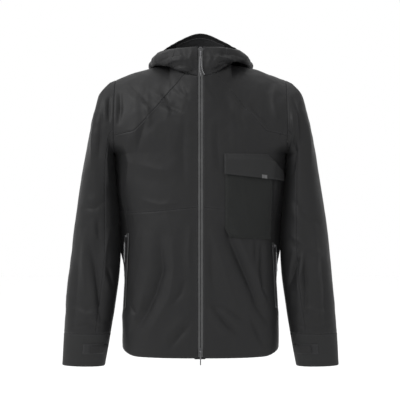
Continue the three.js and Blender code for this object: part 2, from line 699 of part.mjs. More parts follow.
function handPull(zip) {
  const { inner, radius } = handPin;
  const half = inner - 0.35;
  const eye = barAcross(radius + 1.1, 2 * half, 12);
  const strap = block(-half, half, -1.4, -0.4, -handPullLength, -0.4);
  const hole = barAcross(radius + pinClearance, 2 * half + 2, 12);
  const body = geometryOf(solidOf(eye).add(solidOf(strap)).subtract(solidOf(hole)));
  return onHandZip(body.translate(0, handPinDepth, 0), zip, handSliderDrop);
}

// ---------- back of the neck ----------
const loopDepth = 4.5;
const loopY = neckBackY - 9.4;
const loopHalf = 22;
const loopTopZ = 12;

// A tape arch whose straight underside hangs on a hook.
function hangerLoop() {
  const shape = new THREE.Shape();
  const [inner, rise] = [loopHalf - trimThickness, loopTopZ - trimThickness];
  shape.moveTo(-loopHalf, -9).lineTo(-loopHalf, 4);
  shape.quadraticCurveTo(-loopHalf, loopTopZ, -loopHalf + 8, loopTopZ);
  shape.lineTo(loopHalf - 8, loopTopZ).quadraticCurveTo(loopHalf, loopTopZ, loopHalf, 4).lineTo(loopHalf, -9);
  shape.lineTo(inner, -9).lineTo(inner, 4).quadraticCurveTo(inner, rise, loopHalf - 8, rise);
  shape.lineTo(-loopHalf + 8, rise).quadraticCurveTo(-inner, rise, -inner, 4).lineTo(-inner, -9).closePath();
  const arch = new THREE.ExtrudeGeometry(shape, { depth: loopDepth, bevelEnabled: false, curveSegments: 4 });
  return arch.rotateX(Math.PI / 2).translate(0, loopY + loopDepth / 2, 0);
}

// A tape that covers the neck seam inside, from shoulder to shoulder.
function neckTape() {
  const place = (angle, z, out) => {
    const [s, c] = [Math.sin(radians(angle)), -Math.cos(radians(angle))];
    const y = neckSideY + c * (neckBackY - neckSideY + out);
    return point(s * (neckHalfWidth + out), y, neckLoop(angle) + z);
  };
  return sheet(place, steps(14, 110, 250), [-15, -2], -2.6 - trimThickness, -2.6);
}

// A blank care label on the inside of the yoke.
function careLabel() {
  const base = (u, v) => point(u, torsoY(u, v, false), v);
  const place = (x, z, out) => base(x, z).addScaledVector(normalAt(base, x, z, -1), out);
  const from = -shellThickness - layerGap - trimThickness - 0.4;
  return sheet(place, steps(3, -17, 17), steps(3, -100, -60), from, from + trimThickness);
}

// ---------- the jacket ----------
// Everything is placed so that the hanger loop's underside is at the origin.
const jacket = new THREE.Group();
jacket.position.set(0, -loopY, -(loopTopZ - trimThickness));

const finish = (color, roughness, metalness = 0) => {
  return new THREE.MeshStandardMaterial({ color, roughness, metalness });
};
const materials = {
  shell: finish("#333438", 0.7),
  pocket: finish("#2a2e2d", 0.8),
  lining: finish("#232428", 0.85),
  tape: finish("#4a4b4d", 0.45),
  metal: finish("#8b8d90", 0.35, 0.8),
  cord: finish("#6a6b6d", 0.8),
  plastic: finish("#1d1e20", 0.5),
};

function add(name, geometry, material) {
  const mesh = new THREE.Mesh(geometry, materials[material]);
  mesh.name = name;
  jacket.add(mesh);
}

add("shoulder_yoke", shoulderYoke(), "shell");
add("back_panel", backPanel(), "shell");
add("hem_facing", hemFacing(), "lining");
add("hem_drawcord", hemDrawcord(), "cord");
add("hood_centre", hoodCentre(), "shell");
add("hood_peak", hoodPeak(), "lining");
add("top_slider", zipSlider(topSliderZ), "metal");
add("top_pull", zipPull(topSliderZ, pullLength), "metal");
add("bottom_slider", zipSlider(bottomSliderZ), "metal");
add("bottom_pull", zipPull(bottomSliderZ, bottomPullLength), "metal");
add("top_stop", zipStop(collarTopZ - 2.5, 3), "metal");
add("storm_flap", stormFlap(), "lining");
add("chest_pocket", chestPocket(), "pocket");
add("pocket_flap", pocketFlap(), "pocket");
add("flap_tab", flapTab(), "plastic");
add("hanger_loop", hangerLoop(), "lining");
add("neck_tape", neckTape(), "lining");
add("care_label", careLabel(), "lining");

for (const [strand, points] of Object.entries(topCords)) add(`top_cord_${strand}`, cord(points), "cord");

const sides = [
  { side: "left", turn: (piece) => piece, zip: handZip(leftZipTopZ) },
  { side: "right", turn: mirrored, zip: handZip(handZipTopZ) },
];
for (const { side, turn, zip } of sides) {
  add(`${side}_chest`, turn(chestPanel()), "shell");
  add(`${side}_front`, turn(lowerFront(zip)), "shell");
  add(`${side}_sleeve_top`, turn(sleeveTop()), "shell");
  add(`${side}_sleeve_under`, turn(sleeveUnder()), "shell");
  add(`${side}_cuff`, turn(cuff()), "shell");
  add(`${side}_cuff_patch`, turn(cuffPatch()), "lining");
  add(`${side}_cuff_tab`, turn(cuffTab()), "plastic");
  add(`${side}_collar`, turn(collar()), "shell");
  add(`${side}_hood_side`, turn(hoodSide()), "shell");
  add(`${side}_zip_tape`, turn(zipTape()), "tape");
  add(`${side}_zip_teeth`, turn(zipTeeth()), "plastic");
  add(`${side}_hem_cord_lock`, turn(hemCordLock()), "plastic");
  add(`${side}_hand_zip_tape`, turn(handTape(zip)), "tape");
  add(`${side}_hand_zip_teeth`, turn(handTeeth(zip)), "plastic");
  add(`${side}_hand_slider`, turn(handSlider(zip)), "metal");
  add(`${side}_hand_pull`, turn(handPull(zip)), "metal");
  add(`${side}_hand_pocket_bag`, turn(handPocketBag()), "lining");
  for (const [strand, points] of Object.entries(leftHandCords)) {
    const [dx, dy, dz] = zip.top.clone().sub(sides[0].zip.top).toArray();
    add(`${side}_hand_cord_${strand}`, turn(cord(points).translate(dx, dy, dz)), "cord");
  }
}

export default jacket;
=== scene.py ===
import math
import bmesh
import bpy
import numpy as np
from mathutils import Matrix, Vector


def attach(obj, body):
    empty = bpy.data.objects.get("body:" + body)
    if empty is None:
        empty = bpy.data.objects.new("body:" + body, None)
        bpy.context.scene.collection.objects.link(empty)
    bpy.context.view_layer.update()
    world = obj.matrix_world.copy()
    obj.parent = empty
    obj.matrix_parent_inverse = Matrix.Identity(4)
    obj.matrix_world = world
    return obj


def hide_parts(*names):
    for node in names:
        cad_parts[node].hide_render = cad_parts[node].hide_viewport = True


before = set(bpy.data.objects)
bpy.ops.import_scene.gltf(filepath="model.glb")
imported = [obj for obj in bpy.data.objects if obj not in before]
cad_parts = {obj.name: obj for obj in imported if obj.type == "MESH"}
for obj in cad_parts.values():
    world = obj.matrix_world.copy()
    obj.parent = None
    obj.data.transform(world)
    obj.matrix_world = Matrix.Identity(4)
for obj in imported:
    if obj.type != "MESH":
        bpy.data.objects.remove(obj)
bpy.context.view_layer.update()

# The jacket is drawn in millimetres about the middle of the neck, facing -Y, wearer's left at +X.
# The frame has its origin under the hanger loop, so every point is moved there at the end.
loopSeat = np.array([0.0, 58.6, 10.8])
sides = (("left", 1), ("right", -1))


def toFrame(points):
    return (np.asarray(points, dtype=float) - loopSeat) * 0.001


studio = {
    "lens": 105.9,  # mm on a 36 mm sensor
    "eye": (-1.3, -3000.0, -331.5),
    "lights": [  # name, place, aim, width and height in metres, power
        ("key light", (-1700, -1500, 1500), (0, 0, -330), (1.3, 1.3), 58.0),
        ("fill light", (1900, -2100, 100), (0, 0, -330), (2.0, 2.6), 4.0),
        ("top light", (0, 300, 2300), (0, 0, -200), (2.4, 1.8), 22.0),
    ],
    "worldLight": 1.0,
    "floorShade": 0.99,
    "floorZ": -1.12,  # metres
    "floorReach": 9,
}


def areaLight(name, place, aim, size, power):
    data = bpy.data.lights.new(name, "AREA")
    data.shape = "RECTANGLE"
    data.size, data.size_y = size
    data.energy = power
    lamp = bpy.data.objects.new(name, data)
    start, end = Vector(toFrame(place)), Vector(toFrame(aim))
    lamp.location = start
    lamp.rotation_euler = (end - start).to_track_quat("-Z", "Y").to_euler()
    bpy.context.scene.collection.objects.link(lamp)


def makeStudio():
    scene = bpy.context.scene
    data = bpy.data.cameras.new("camera")
    data.lens = studio["lens"]
    data.sensor_width = 36.0
    data.clip_end = 60.0
    camera = bpy.data.objects.new("camera", data)
    camera.location = toFrame(studio["eye"])
    camera.rotation_euler = (math.pi / 2, 0, 0)
    scene.collection.objects.link(camera)
    scene.camera = camera
    scene.view_settings.view_transform = "Standard"
    for light in studio["lights"]:
        areaLight(*light)
    world = bpy.data.worlds.new("studio air")
    world.use_nodes = True
    air = world.node_tree.nodes["Background"].inputs
    air[0].default_value, air[1].default_value = (1, 1, 1, 1), studio["worldLight"]
    scene.world = world
    marks = np.linspace(-studio["floorReach"], studio["floorReach"], 7)
    points = [(x, y, studio["floorZ"]) for y in marks for x in marks]
    corners = [7 * i + j for i in range(6) for j in range(6)]
    mesh = bpy.data.meshes.new("floor")
    mesh.from_pydata(points, [], [(c, c + 1, c + 8, c + 7) for c in corners])
    floor = bpy.data.objects.new("floor", mesh)
    scene.collection.objects.link(floor)
    paper = bpy.data.materials.new("floor paper")
    paper.use_nodes = True
    shader = paper.node_tree.nodes["Principled BSDF"]
    shader.inputs["Base Color"].default_value = (*[studio["floorShade"]] * 3, 1)
    shader.inputs["Roughness"].default_value = 0.9
    mesh.materials.append(paper)


makeStudio()
print("studio ready")


def smooth(t):
    t = np.clip(t, 0, 1)
    return t * t * (3 - 2 * t)


def mix(a, b, t):
    return a + (b - a) * t


def along(rows, place):
    # values at a place, on a smooth curve through rows of [place, value, value...]
    rows = np.asarray(rows, float)
    knots, values, last = rows[:, 0], rows[:, 1:], len(rows) - 1
    place = np.asarray(place, float)
    k = np.clip(np.searchsorted(knots, place, side="right") - 1, 0, last - 1)
    before, after = np.maximum(k - 1, 0), np.minimum(k + 2, last)
    span = (knots[k + 1] - knots[k])[..., None]
    t = np.clip((place[..., None] - knots[k][..., None]) / span, 0, 1)
    q, r = values[k], values[k + 1]
    leave = (r - values[before]) / (knots[k + 1] - knots[before])[..., None] * span
    leave = np.where((k > 0)[..., None], leave, r - q)
    arrive = (values[after] - q) / (knots[after] - knots[k])[..., None] * span
    arrive = np.where((k + 2 <= last)[..., None], arrive, r - q)
    t2, t3 = t * t, t * t * t
    first = (2 * t3 - 3 * t2 + 1) * q + (t3 - 2 * t2 + t) * leave
    return first + (3 * t2 - 2 * t3) * r + (t3 - t2) * arrive


def lattice(x, y, z, seed):
    n = (x * 374761393 + y * 668265263 + z * 1442695041 + seed * 974634777) & 0xFFFFFFFF
    n = ((n ^ (n >> 13)) * 1274126177) & 0xFFFFFFFF
    return ((n ^ (n >> 16)) & 0xFFFFFF) / 0x7FFFFF - 1.0


def waves(points, size, seed):
    # smooth noise from -1 to 1 over points, with bumps of about that size in mm along each axis
    scaled = np.asarray(points) / np.asarray(size, float) + 100.0
    cell = np.floor(scaled).astype(np.int64)
    f = smooth(scaled - cell)
    total = 0.0
    for corner in range(8):
        step = [(corner >> axis) & 1 for axis in range(3)]
        weight = 1.0
        for axis in range(3):
            weight = weight * (f[..., axis] if step[axis] else 1 - f[..., axis])
        total = total + weight * lattice(*(cell[..., axis] + step[axis] for axis in range(3)), seed)
    return total


def nearLine(x, z, corners):
    # signed distance to a line of [x, z] corners, and how far along it from 0 to 1
    corners = np.asarray(corners, float)
    steps = np.diff(corners, axis=0)
    lengths = np.hypot(steps[:, 0], steps[:, 1])
    starts = np.concatenate([[0], np.cumsum(lengths)])
    best = np.full(np.shape(x), 1e9)
    share = np.zeros(np.shape(x))
    for (sx, sz), (dx, dz), length, start in zip(corners[:-1], steps, lengths, starts):
        t = np.clip(((x - sx) * dx + (z - sz) * dz) / length**2, 0, 1)
        gap = np.hypot(x - sx - t * dx, z - sz - t * dz)
        side = np.where((x - sx) * dz - (z - sz) * dx >= 0, 1.0, -1.0)
        nearer = gap < np.abs(best)
        best = np.where(nearer, gap * side, best)
        share = np.where(nearer, (start + t * length) / starts[-1], share)
    return best, share


torso = {
    "hemZ": -718.0,
    "hemLift": 13.0,  # how far the hem rises at the side seams
    "armpitZ": -215.0,
    "backSeamZ": -128.0,
    "armholeX": 216.0,
    "neckHalfWidth": 78.0,
    "neckFrontZ": -26.0,
    "neckSideZ": 14.0,
    "neckSideY": 5.0,
    "neckBackY": 68.0,
    "shoulderTipZ": -27.0,
    "zipHemY": -132.0,
    "zipLean": 0.04,
    "zipEdge": 6.8,
    "squareness": 2.7,
    "halfWidths": [[-718, 196], [-690, 198.5], [-620, 197.5], [-400, 188.5], [-310, 205], [-215, 216]],
    "backDepths": [
        [-718, 118], [-600, 108], [-470, 102], [-330, 108], [-215, 114], [-120, 117], [14, 104],
    ],
    "yokeFrontX": 37.0,  # where the yoke's point meets the neck
    "yokeSeam": [[37, -17], [44, -24], [121, -115], [162, -160], [216, -172]],
    "chestSeamZ": -364.0,  # at the side
    "chestSeam": [[0, -349], [52, -354], [120, -361], [200, -364], [260, -364]],
    "sideBulge": [  # height, and how far the sides swell behind the sleeves
        [-718, 0], [-540, 0], [-495, 6], [-450, 17], [-400, 20], [-350, 17],
        [-310, 13], [-270, 11], [-240, 7], [-225, 4], [-212, 0],
    ],
}
hemZ, armpitZ, armholeX = torso["hemZ"], torso["armpitZ"], torso["armholeX"]
neckHalf = torso["neckHalfWidth"]


def zipY(z):
    return torso["zipHemY"] + (z - hemZ) * torso["zipLean"]


def rounded(share):
    power = torso["squareness"]
    return (1 - np.minimum(1, np.abs(share)) ** power) ** (1 / power)


def widthAt(z):
    return np.where(z <= armpitZ, along(torso["halfWidths"], np.minimum(z, armpitZ))[..., 0], armholeX)


def topEdge(x, facing):
    neck = mix(torso["neckFrontZ"] if facing < 0 else 0.0, torso["neckSideZ"], (x / neckHalf) ** 2)
    slope = np.clip((np.abs(x) - neckHalf) / (armholeX - neckHalf), 0, None) ** 1.5
    return np.where(np.abs(x) < neckHalf, neck, mix(torso["neckSideZ"], torso["shoulderTipZ"], slope))


def torsoAt(x, z, facing):
    # points of the torso's front (facing -1) or back (facing 1) at x and z of the front view
    x, z = np.broadcast_arrays(np.asarray(x, float), np.asarray(z, float))
    depth = -zipY(z) if facing < 0 else along(torso["backDepths"], z)[..., 0]
    rise = np.clip((z - armpitZ) / (topEdge(x, facing) - armpitZ), 0, 1)
    flare = armholeX * (1 + 0.45 * np.sin(np.pi * np.minimum(0.5, rise)))
    spread = np.where(z <= armpitZ, widthAt(z), flare)
    side = facing * depth * rounded(x / spread)
    neckY = zipY(torso["neckFrontZ"]) if facing < 0 else torso["neckBackY"]
    neckDepth = facing * (neckY - torso["neckSideY"])
    neckRound = np.sqrt(np.clip(1 - (x / neckHalf) ** 2, 0, 1))
    below = np.exp(-np.abs(x / (0.82 * neckHalf)) ** 3.2)  # the neck's shape eases out into the chest
    neckRound = mix(below, neckRound, smooth((rise - 0.72) / 0.28) ** 1.5)
    top = torso["neckSideY"] + facing * neckDepth * neckRound
    y = mix(side, top, 1 - (1 - rise**2.2) ** (1 / 2.2))
    bulge = np.interp(z, *np.array(torso["sideBulge"], float).T) * smooth((y + 38) / 48)
    x = x + np.sign(x) * bulge * np.clip(np.abs(x) / widthAt(z), 0, 1) ** 6
    return np.stack([x, y, z], -1)


def hemAt(share):
    return hemZ + torso["hemLift"] * np.clip((np.abs(share) - 0.78) / 0.22, 0, 1) ** 2.2


folds = {  # each one is (half width, height, x, z, x, z ...) in mm
    "front": [
        (15, -5.5, -99, -407, -97, -464, -94, -506, -112, -562, -134, -606, -156, -640, -178, -668),
        (20, 3.5, -70, -420, -66, -500, -78, -570, -110, -630, -135, -680),
        (9, -2.6, -36, -520, -48, -560, -72, -590), (10, -3.2, -20, -628, -48, -660, -80, -700),
        (7, -2.4, -178, -585, -166, -604, -150, -618), (9, 2, -176, -640, -150, -600, -140, -560),
        (12, -5, 52, -382, 75, -434, 99, -488, 124, -545, 143, -596, 170, -642),
        (15, 3.4, 72, -372, 98, -434, 122, -488, 146, -545, 164, -590),
        (22, 2.6, 20, -400, 48, -470, 70, -540, 96, -610), (6, -2, 137, -424, 136, -490),
        (7, -2.6, 152, -436, 152, -500, 154, -550, 170, -582), (8, -3.4, 22, -580, 60, -631, 102, -668),
        (7, -2.4, 24, -584, 68, -600, 118, -634), (9, -2.8, 118, -606, 140, -655, 160, -700),
        (9, -3.2, -180, -36, -156, -66, -134, -91, -108, -99),
        (8, 2.6, -160, -60, -132, -104, -126, -150), (4, -1.9, -68, -50, -48, -68, -28, -84),
        (5, -2.2, -98, -88, -70, -106, -40, -118), (5, 1.8, -126, -56, -90, -86, -64, -96),
        (4, -1.4, -96, -62, -78, -92, -70, -126), (7, -3.6, -202, -60, -200, -100, -203, -146),
        (10, -2.4, -134, -132, -146, -170, -158, -214), (4, -1.2, -46, -30, -36, -58, -26, -84),
        (4, -1.5, 12, -36, 24, -62, 42, -88), (4, 1, 26, -36, 40, -56, 56, -76),
        (9, -1.8, 44, -130, 40, -190, 46, -262), (9, 2.2, 62, -66, 98, -110, 132, -140),
        (7, -2.4, 118, -96, 150, -128, 178, -150), (9, 2.2, 186, -40, 180, -84, 190, -140),
        (10, 2.6, -190, -190, -176, -240, -184, -300), (14, 1.5, -160, -240, -110, -256, -60, -262),
        (12, -1.5, -40, -130, -44, -210, -38, -300), (10, 1.4, -150, -330, -100, -344, -50, -338),
        (9, -2.2, 196, -230, 186, -290, 184, -352), (10, -1.8, 28, -420, 26, -500, 34, -560),
        (9, 1.8, -24, -390, -30, -460, -24, -520),
    ],
    "back": [
        (18, -4.2, -120, -150, -60, -260, -20, -420), (20, -3.8, 110, -150, 64, -250, 30, -400),
        (14, 3.2, -170, -240, -120, -330, -80, -440), (13, 3, 172, -236, 130, -320, 96, -450),
        (14, -2.6, -150, -420, -40, -450, 60, -436, 150, -460),
        (13, 2.4, -130, -520, -60, -560, 20, -548), (15, -3.6, 130, -500, 90, -580, 70, -690),
        (14, -3.4, -110, -560, -90, -630, -100, -700), (17, 3, -20, -480, -10, -580, -24, -700),
        (10, 2.2, -190, -60, -130, -84, -60, -80), (10, -2.4, 190, -64, 120, -90, 70, -84),
        (8, -1.8, -30, -30, -10, -60, 10, -96),
    ],
    "leftSleeve": [
        (8, -3, 228, -70, 246, -120, 250, -200), (9, 2.4, 262, -110, 272, -180, 276, -250),
        (8, -3.2, 232, -150, 236, -210, 228, -270), (6, 2.2, 226, -120, 230, -170, 222, -220),
        (7, -3.4, 250, -452, 236, -500, 216, -560), (8, 2.6, 262, -440, 252, -500, 238, -560),
        (8, -3.6, 258, -450, 262, -540, 260, -640), (11, 2.8, 280, -380, 288, -470, 286, -560),
        (9, -2.4, 300, -470, 310, -560, 312, -660), (9, -2.2, 230, -330, 262, -372, 300, -392),
        (8, 1.8, 222, -420, 256, -438, 306, -470), (6, -1.8, 236, -640, 270, -652, 330, -640),
        (7, 1.6, 240, -610, 280, -600, 326, -612),
    ],
    "rightSleeve": [
        (6, -3.4, -227, -74, -228, -104, -226, -140), (7, -3, -240, -80, -250, -150, -252, -226),
        (9, 2.4, -262, -110, -268, -180, -272, -260), (9, 2.6, -232, -170, -236, -230, -230, -300),
        (6, -2.4, -254, -376, -255, -400, -252, -432),
        (8, -3.6, -276, -440, -262, -500, -254, -560, -250, -640),
        (6, -2.8, -232, -500, -224, -526, -216, -560), (11, 2.6, -288, -400, -292, -480, -288, -570),
        (9, 2.2, -228, -400, -240, -470, -242, -540), (9, -2.4, -306, -480, -312, -570, -316, -660),
        (9, -2, -232, -330, -262, -352, -300, -350), (6, -1.8, -240, -650, -280, -640, -330, -652),
        (7, 1.6, -244, -606, -284, -616, -322, -600),
    ],
    "hood": [
        (5, 1.5, -106, 30, -78, 37, -44, 41), (5, -1.9, -102, 14, -74, 24, -38, 27),
        (5, 1.6, -94, 2, -66, 12, -28, 13), (4, -1.4, -78, -8, -54, 0, -30, -3),
        (4, -1, -48, 42, -41, 20, -46, -6), (4, 0.9, -20, 40, -26, 18, -18, -8),
        (5, 1.6, 104, 34, 74, 40, 40, 43), (5, -1.9, 114, 22, 80, 29, 40, 31),
        (4, 1.5, 98, 12, 66, 19, 32, 21), (4, -1, 62, 42, 52, 26, 55, 4),
        (4, -0.9, 24, 40, 31, 16, 22, -8), (4, -1.2, 80, 8, 58, 9, 36, 4),
    ],
    "creases": [(64, 1.0, 11), (34, 0.6, 12), (17, 0.34, 13)],  # size, share and seed
    "creaseHeight": 2.2,
    "height": 1.9,
    "broadSag": 2.2,
}
handZipLines = {
    "left": ([179.9, -438.0], [187.9, -601.0]),
    "right": ([179.8, -414.0], [187.9, -601.0]),
}


def foldShift(x, z, lines):
    total = np.zeros(np.shape(x))
    for width, height, *corners in lines:
        gap, share = nearLine(x, z, np.reshape(corners, (-1, 2)))
        taper = np.sin(np.pi * np.clip(share, 0.001, 0.999)) ** 0.7
        crest = np.exp(-(np.abs(gap / (0.75 * width)) ** 1.25))
        beside = np.exp(-(((gap - 1.9 * width) / (1.3 * width)) ** 2))
        total += height * taper * (crest - 0.5 * beside)
    return total * folds["height"]


def clothShift(points, normals, part):
    # how far the cloth stands out from its plain surface: folds, sag and small creases
    x, _, z = np.moveaxis(points, -1, 0)
    forward = smooth(0.5 - 0.9 * normals[..., 1])
    shift = forward * foldShift(x, z, folds["front" if part == "torso" else part])
    if part == "torso":
        shift = shift + (1 - forward) * foldShift(x, z, folds["back"])
    elif part != "hood":
        shift = shift + (1 - forward) * foldShift(x, z + 26, folds[part]) * 0.9
    sag = folds["broadSag"] * (0.35 if part == "hood" else 1.0)
    shift = shift + sag * waves(points, (95, 120, 210), 3)
    ridged = 0.0
    for size, height, seed in folds["creases"]:
        bend = [waves(points, size * 1.5, seed + k) for k in (20, 30, 40)]
        bent = points + 0.35 * size * np.stack(bend, -1)
        ridged = ridged + height * (0.42 - np.abs(waves(bent, (size, size, size * 1.5), seed)))
    crumpled = 0.55 + 0.5 * waves(points, 150, 5)
    crumpled = crumpled + (1.45 if part == "hood" else 0.6 * smooth((z + 250) / 120))
    return shift + folds["creaseHeight"] * ridged * crumpled


def calm(points, part):
    # where the cloth is held flat: by the zips, the hem band and the armhole seams
    x, _, z = np.moveaxis(points, -1, 0)
    keep = np.ones(np.shape(x))
    if part == "torso":
        keep = keep * (0.12 + 0.88 * smooth((np.abs(x) - 8) / 26))
        for side, sign in sides:
            gap, _ = nearLine(x * sign, z, handZipLines[side])
            keep = keep * (0.05 + 0.95 * smooth((np.abs(gap) - 5) / 18))
        keep = keep * (0.4 + 0.6 * smooth((z - hemZ - 8) / 60))
        gap = np.where(z > armpitZ - 20, armholeX - np.abs(x), 99)
        keep = keep * smooth((gap + 3) / 16)
    elif part != "hood":
        keep = keep * smooth((np.abs(x) - armholeX + 3) / 16)
        keep = np.where(z < -600, keep * (0.12 + 0.88 * smooth((z + 700) / 90)), keep)
    return keep


def gridNormals(points, sign):
    across, up = np.gradient(points, axis=1), np.gradient(points, axis=0)
    normal = np.cross(across, up)
    size = np.linalg.norm(normal, axis=-1, keepdims=True)
    normal = np.where(size > 1e-9, normal / np.maximum(size, 1e-9), np.nan)
    for row in range(len(normal)):
        bad = np.isnan(normal[row, :, 0])
        if bad.any() and not bad.all():
            good = np.flatnonzero(~bad)
            for k in np.flatnonzero(bad):
                normal[row, k] = normal[row, good[np.argmin(np.abs(good - k))]]
    return sign * np.nan_to_num(normal)


def lengthsAlong(points, axis):
    steps = np.linalg.norm(np.diff(points, axis=axis), axis=-1)
    pad = [(1, 0), (0, 0)] if axis == 0 else [(0, 0), (1, 0)]
    return np.cumsum(np.pad(steps, pad), axis=axis)


def ticks(length, step=3.4, fine=(0, 1.0, 2.2, 3.8, 6.2)):
    # shares along a length, closer together at both ends where the seams are
    fine = [f for f in fine if f < length / 3]
    count = max(2, int(round((length - 2 * fine[-1]) / step)) + 1)
    inner = list(np.linspace(fine[-1], length - fine[-1], count))
    return np.array(fine[:-1] + inner + [length - f for f in fine[:-1]][::-1]) / length


def patch(points, sign, sewn, part=None, out=0.0, start=None, rollIn=0.6, mirror=False):
    # a grid of cloth from base points, where sewn gives its sewn edges: bottom, top, left, right
    rows, columns = points.shape[:2]
    normals = gridNormals(points, sign)
    u, v = lengthsAlong(points, 1), lengthsAlong(points, 0)
    fromEdge = np.full((rows, columns), 99.0)
    seamPlace = np.zeros((rows, columns))
    options = {"bottom": (v, u), "top": (v[-1:] - v, u), "left": (u, v), "right": (u[:, -1:] - u, v)}
    for edge, where in sewn.items():
        distance, place = options[edge]
        distance = np.where(where, distance, 99.0)
        seamPlace = np.where(distance < fromEdge, place, seamPlace)
        fromEdge = np.minimum(fromEdge, distance)
    if mirror:
        points, normals = points * [-1, 1, 1], normals * [-1, 1, 1]
    shift = np.zeros((rows, columns))
    if part:
        shift = clothShift(points, normals, part) * calm(points, part)
    pucker = 0.28 * np.sin(seamPlace * 0.42 + 2 * waves(points, 30, 8)) * np.exp(-fromEdge / 7)
    shift = shift + pucker - rollIn * np.exp(-((fromEdge / 1.5) ** 2))
    shift = shift + 0.25 * np.exp(-(((fromEdge - 4.5) / 2.2) ** 2))
    placed = points + normals * (shift + out)[..., None]
    index = np.arange(rows * columns).reshape(rows, columns)
    quads = [index[:-1, :-1], index[:-1, 1:], index[1:, 1:], index[1:, :-1]]
    quads = np.stack(quads, -1).reshape(-1, 4)
    if (sign < 0) != mirror:
        quads = quads[:, ::-1]
    if start is not None:
        v = v + start
    cells = np.cross(points[1:, 1:] - points[:-1, :-1], points[1:, :-1] - points[:-1, 1:])
    return {
        "points": placed.reshape(-1, 3),
        "faces": quads,
        "cloth": np.stack([u, v, fromEdge], -1).reshape(-1, 3),
        "seam": seamPlace.reshape(-1),
        "size": (u.max() * 0.001, (v.max() - v.min()) * 0.001),
        "area": float(np.linalg.norm(cells, axis=-1).sum()) / 2 * 1e-6,
    }


def newPiece(name, mesh, material):
    piece = bpy.data.objects.new(name, mesh)
    bpy.context.scene.collection.objects.link(piece)
    mesh.materials.append(material)
    return piece


def addField(mesh, name, kind, values):
    field = mesh.attributes.new(name, kind, "POINT")
    key = "vector" if kind == "FLOAT_VECTOR" else "value"
    field.data.foreach_set(key, np.asarray(values, np.float32).ravel())


def joinPatches(name, patches, material, thickness=1.1, weld=0.02):
    parts = [[one[key] for one in patches] for key in ("points", "cloth", "seam")]
    points, cloth, seam = map(np.concatenate, parts)
    faces, count = [], 0
    for one in patches:
        faces += (one["faces"] + count).tolist()
        count += len(one["points"])
    mesh = bpy.data.meshes.new(name)
    mesh.from_pydata(toFrame(points).tolist(), [], faces)
    addField(mesh, "cloth", "FLOAT_VECTOR", cloth)
    addField(mesh, "seamPlace", "FLOAT", seam)
    work = bmesh.new()
    work.from_mesh(mesh)
    bmesh.ops.remove_doubles(work, verts=work.verts, dist=weld * 0.001)
    bmesh.ops.dissolve_degenerate(work, dist=1e-6, edges=work.edges)
    work.to_mesh(mesh)
    work.free()
    mesh.shade_smooth()
    piece = newPiece(name, mesh, material)
    solid = piece.modifiers.new("cloth thickness", "SOLIDIFY")
    solid.thickness = thickness * 0.001
    solid.offset = -1.0
    solid.use_rim = True
    return piece


cords = {
    "diameter": 2.4,
    "braidPitch": 5.5,
    "pointGap": 0.55,
    "top": {
        "a": [
            [-1.3, -106.3, 21.6], [-1.4, -106.5, 12], [-1.6, -106.8, 2],
            [-1.5, -107, -8], [-0.6, -107.2, -18], [1.4, -107.3, -27],
        ],
        "b": [
            [1.3, -106.3, 21.6], [1.5, -106.5, 12], [2, -106.9, 2],
            [3.5, -107.4, -8], [6.2, -107.8, -16], [9.6, -108.1, -24],
        ],
    },
    "leftHand": {
        "a": [
            [189.3, -59.8, -461.9], [189.4, -60.1, -473], [189.6, -60.5, -485],
            [189.9, -61.3, -498], [190.2, -62.5, -511],
        ],
        "b": [
            [190.3, -57.5, -461.9], [190.5, -57.5, -473], [190.6, -57.3, -485],
            [190.9, -56.9, -497], [191.3, -56.2, -509],
        ],
    },
    "rightShift": (-0.11, 0.43, 24.0),  # from the left hand cords, before they are mirrored
}


class Paint:
    # A material's node tree, built one node at a time

    def __init__(self, name):
        self.material = bpy.data.materials.new(name)
        self.material.use_nodes = True
        self.tree = self.material.node_tree
        self.shader = self.tree.nodes["Principled BSDF"]

    def node(self, kind, values=(), **settings):
        made = self.tree.nodes.new("ShaderNode" + kind)
        for key, value in settings.items():
            setattr(made, key, value)
        for key, value in dict(values).items():
            self.feed(made.inputs[key], value)
        return made

    def feed(self, socket, value):
        if hasattr(value, "links"):
            self.tree.links.new(value, socket)
        else:
            socket.default_value = value

    def maths(self, operation, a, b=0.0):
        made = self.node("Math", operation=operation)
        for socket, value in zip(made.inputs, (a, b)):
            self.feed(socket, value)
        return made.outputs[0]

    def blend(self, share, a, b):
        made = self.node("Mix", data_type="RGBA")
        self.feed(made.inputs[0], share)
        self.feed(made.inputs[6], a)
        self.feed(made.inputs[7], b)
        return made.outputs[2]

    def ramp(self, value, low, high, top=1.0):
        sockets = {"Value": value, "From Min": low, "From Max": high, "To Max": top}
        return self.node("MapRange", sockets).outputs[0]

    def noise(self, scale, detail=4.0, where=None):
        made = self.node("TexNoise", {"Scale": scale, "Detail": detail})
        if where is not None:
            self.feed(made.inputs["Vector"], where)
        return made.outputs["Fac"]

    def set(self, **sockets):
        for key, value in sockets.items():
            self.feed(self.shader.inputs[key.replace("_", " ")], value)

    def bump(self, height, strength, distance, after=None):
        made = self.node("Bump", {"Strength": strength, "Distance": distance, "Height": height})
        if after is not None:
            self.feed(made.inputs["Normal"], after)
        return made.outputs[0]


def clothMap(paint):
    # the place on the flat cloth, and the distance from its nearest seam, in mm
    place = paint.node("Attribute", attribute_name="cloth").outputs["Vector"]
    return paint.node("SeparateXYZ", {"Vector": place}).outputs


stitching = {"fromSeam": 2.9, "halfWidth": 0.42, "pitch": 3.2, "share": 0.66}  # mm


def stitches(paint, fromEdge):
    seam = paint.node("Attribute", attribute_name="seamPlace").outputs["Fac"]
    away = paint.maths("ABSOLUTE", paint.maths("SUBTRACT", fromEdge, stitching["fromSeam"]))
    row = paint.maths("LESS_THAN", away, stitching["halfWidth"])
    turn = paint.maths("FRACT", paint.maths("DIVIDE", seam, stitching["pitch"]))
    return paint.maths("MULTIPLY", row, paint.maths("LESS_THAN", turn, stitching["share"]))


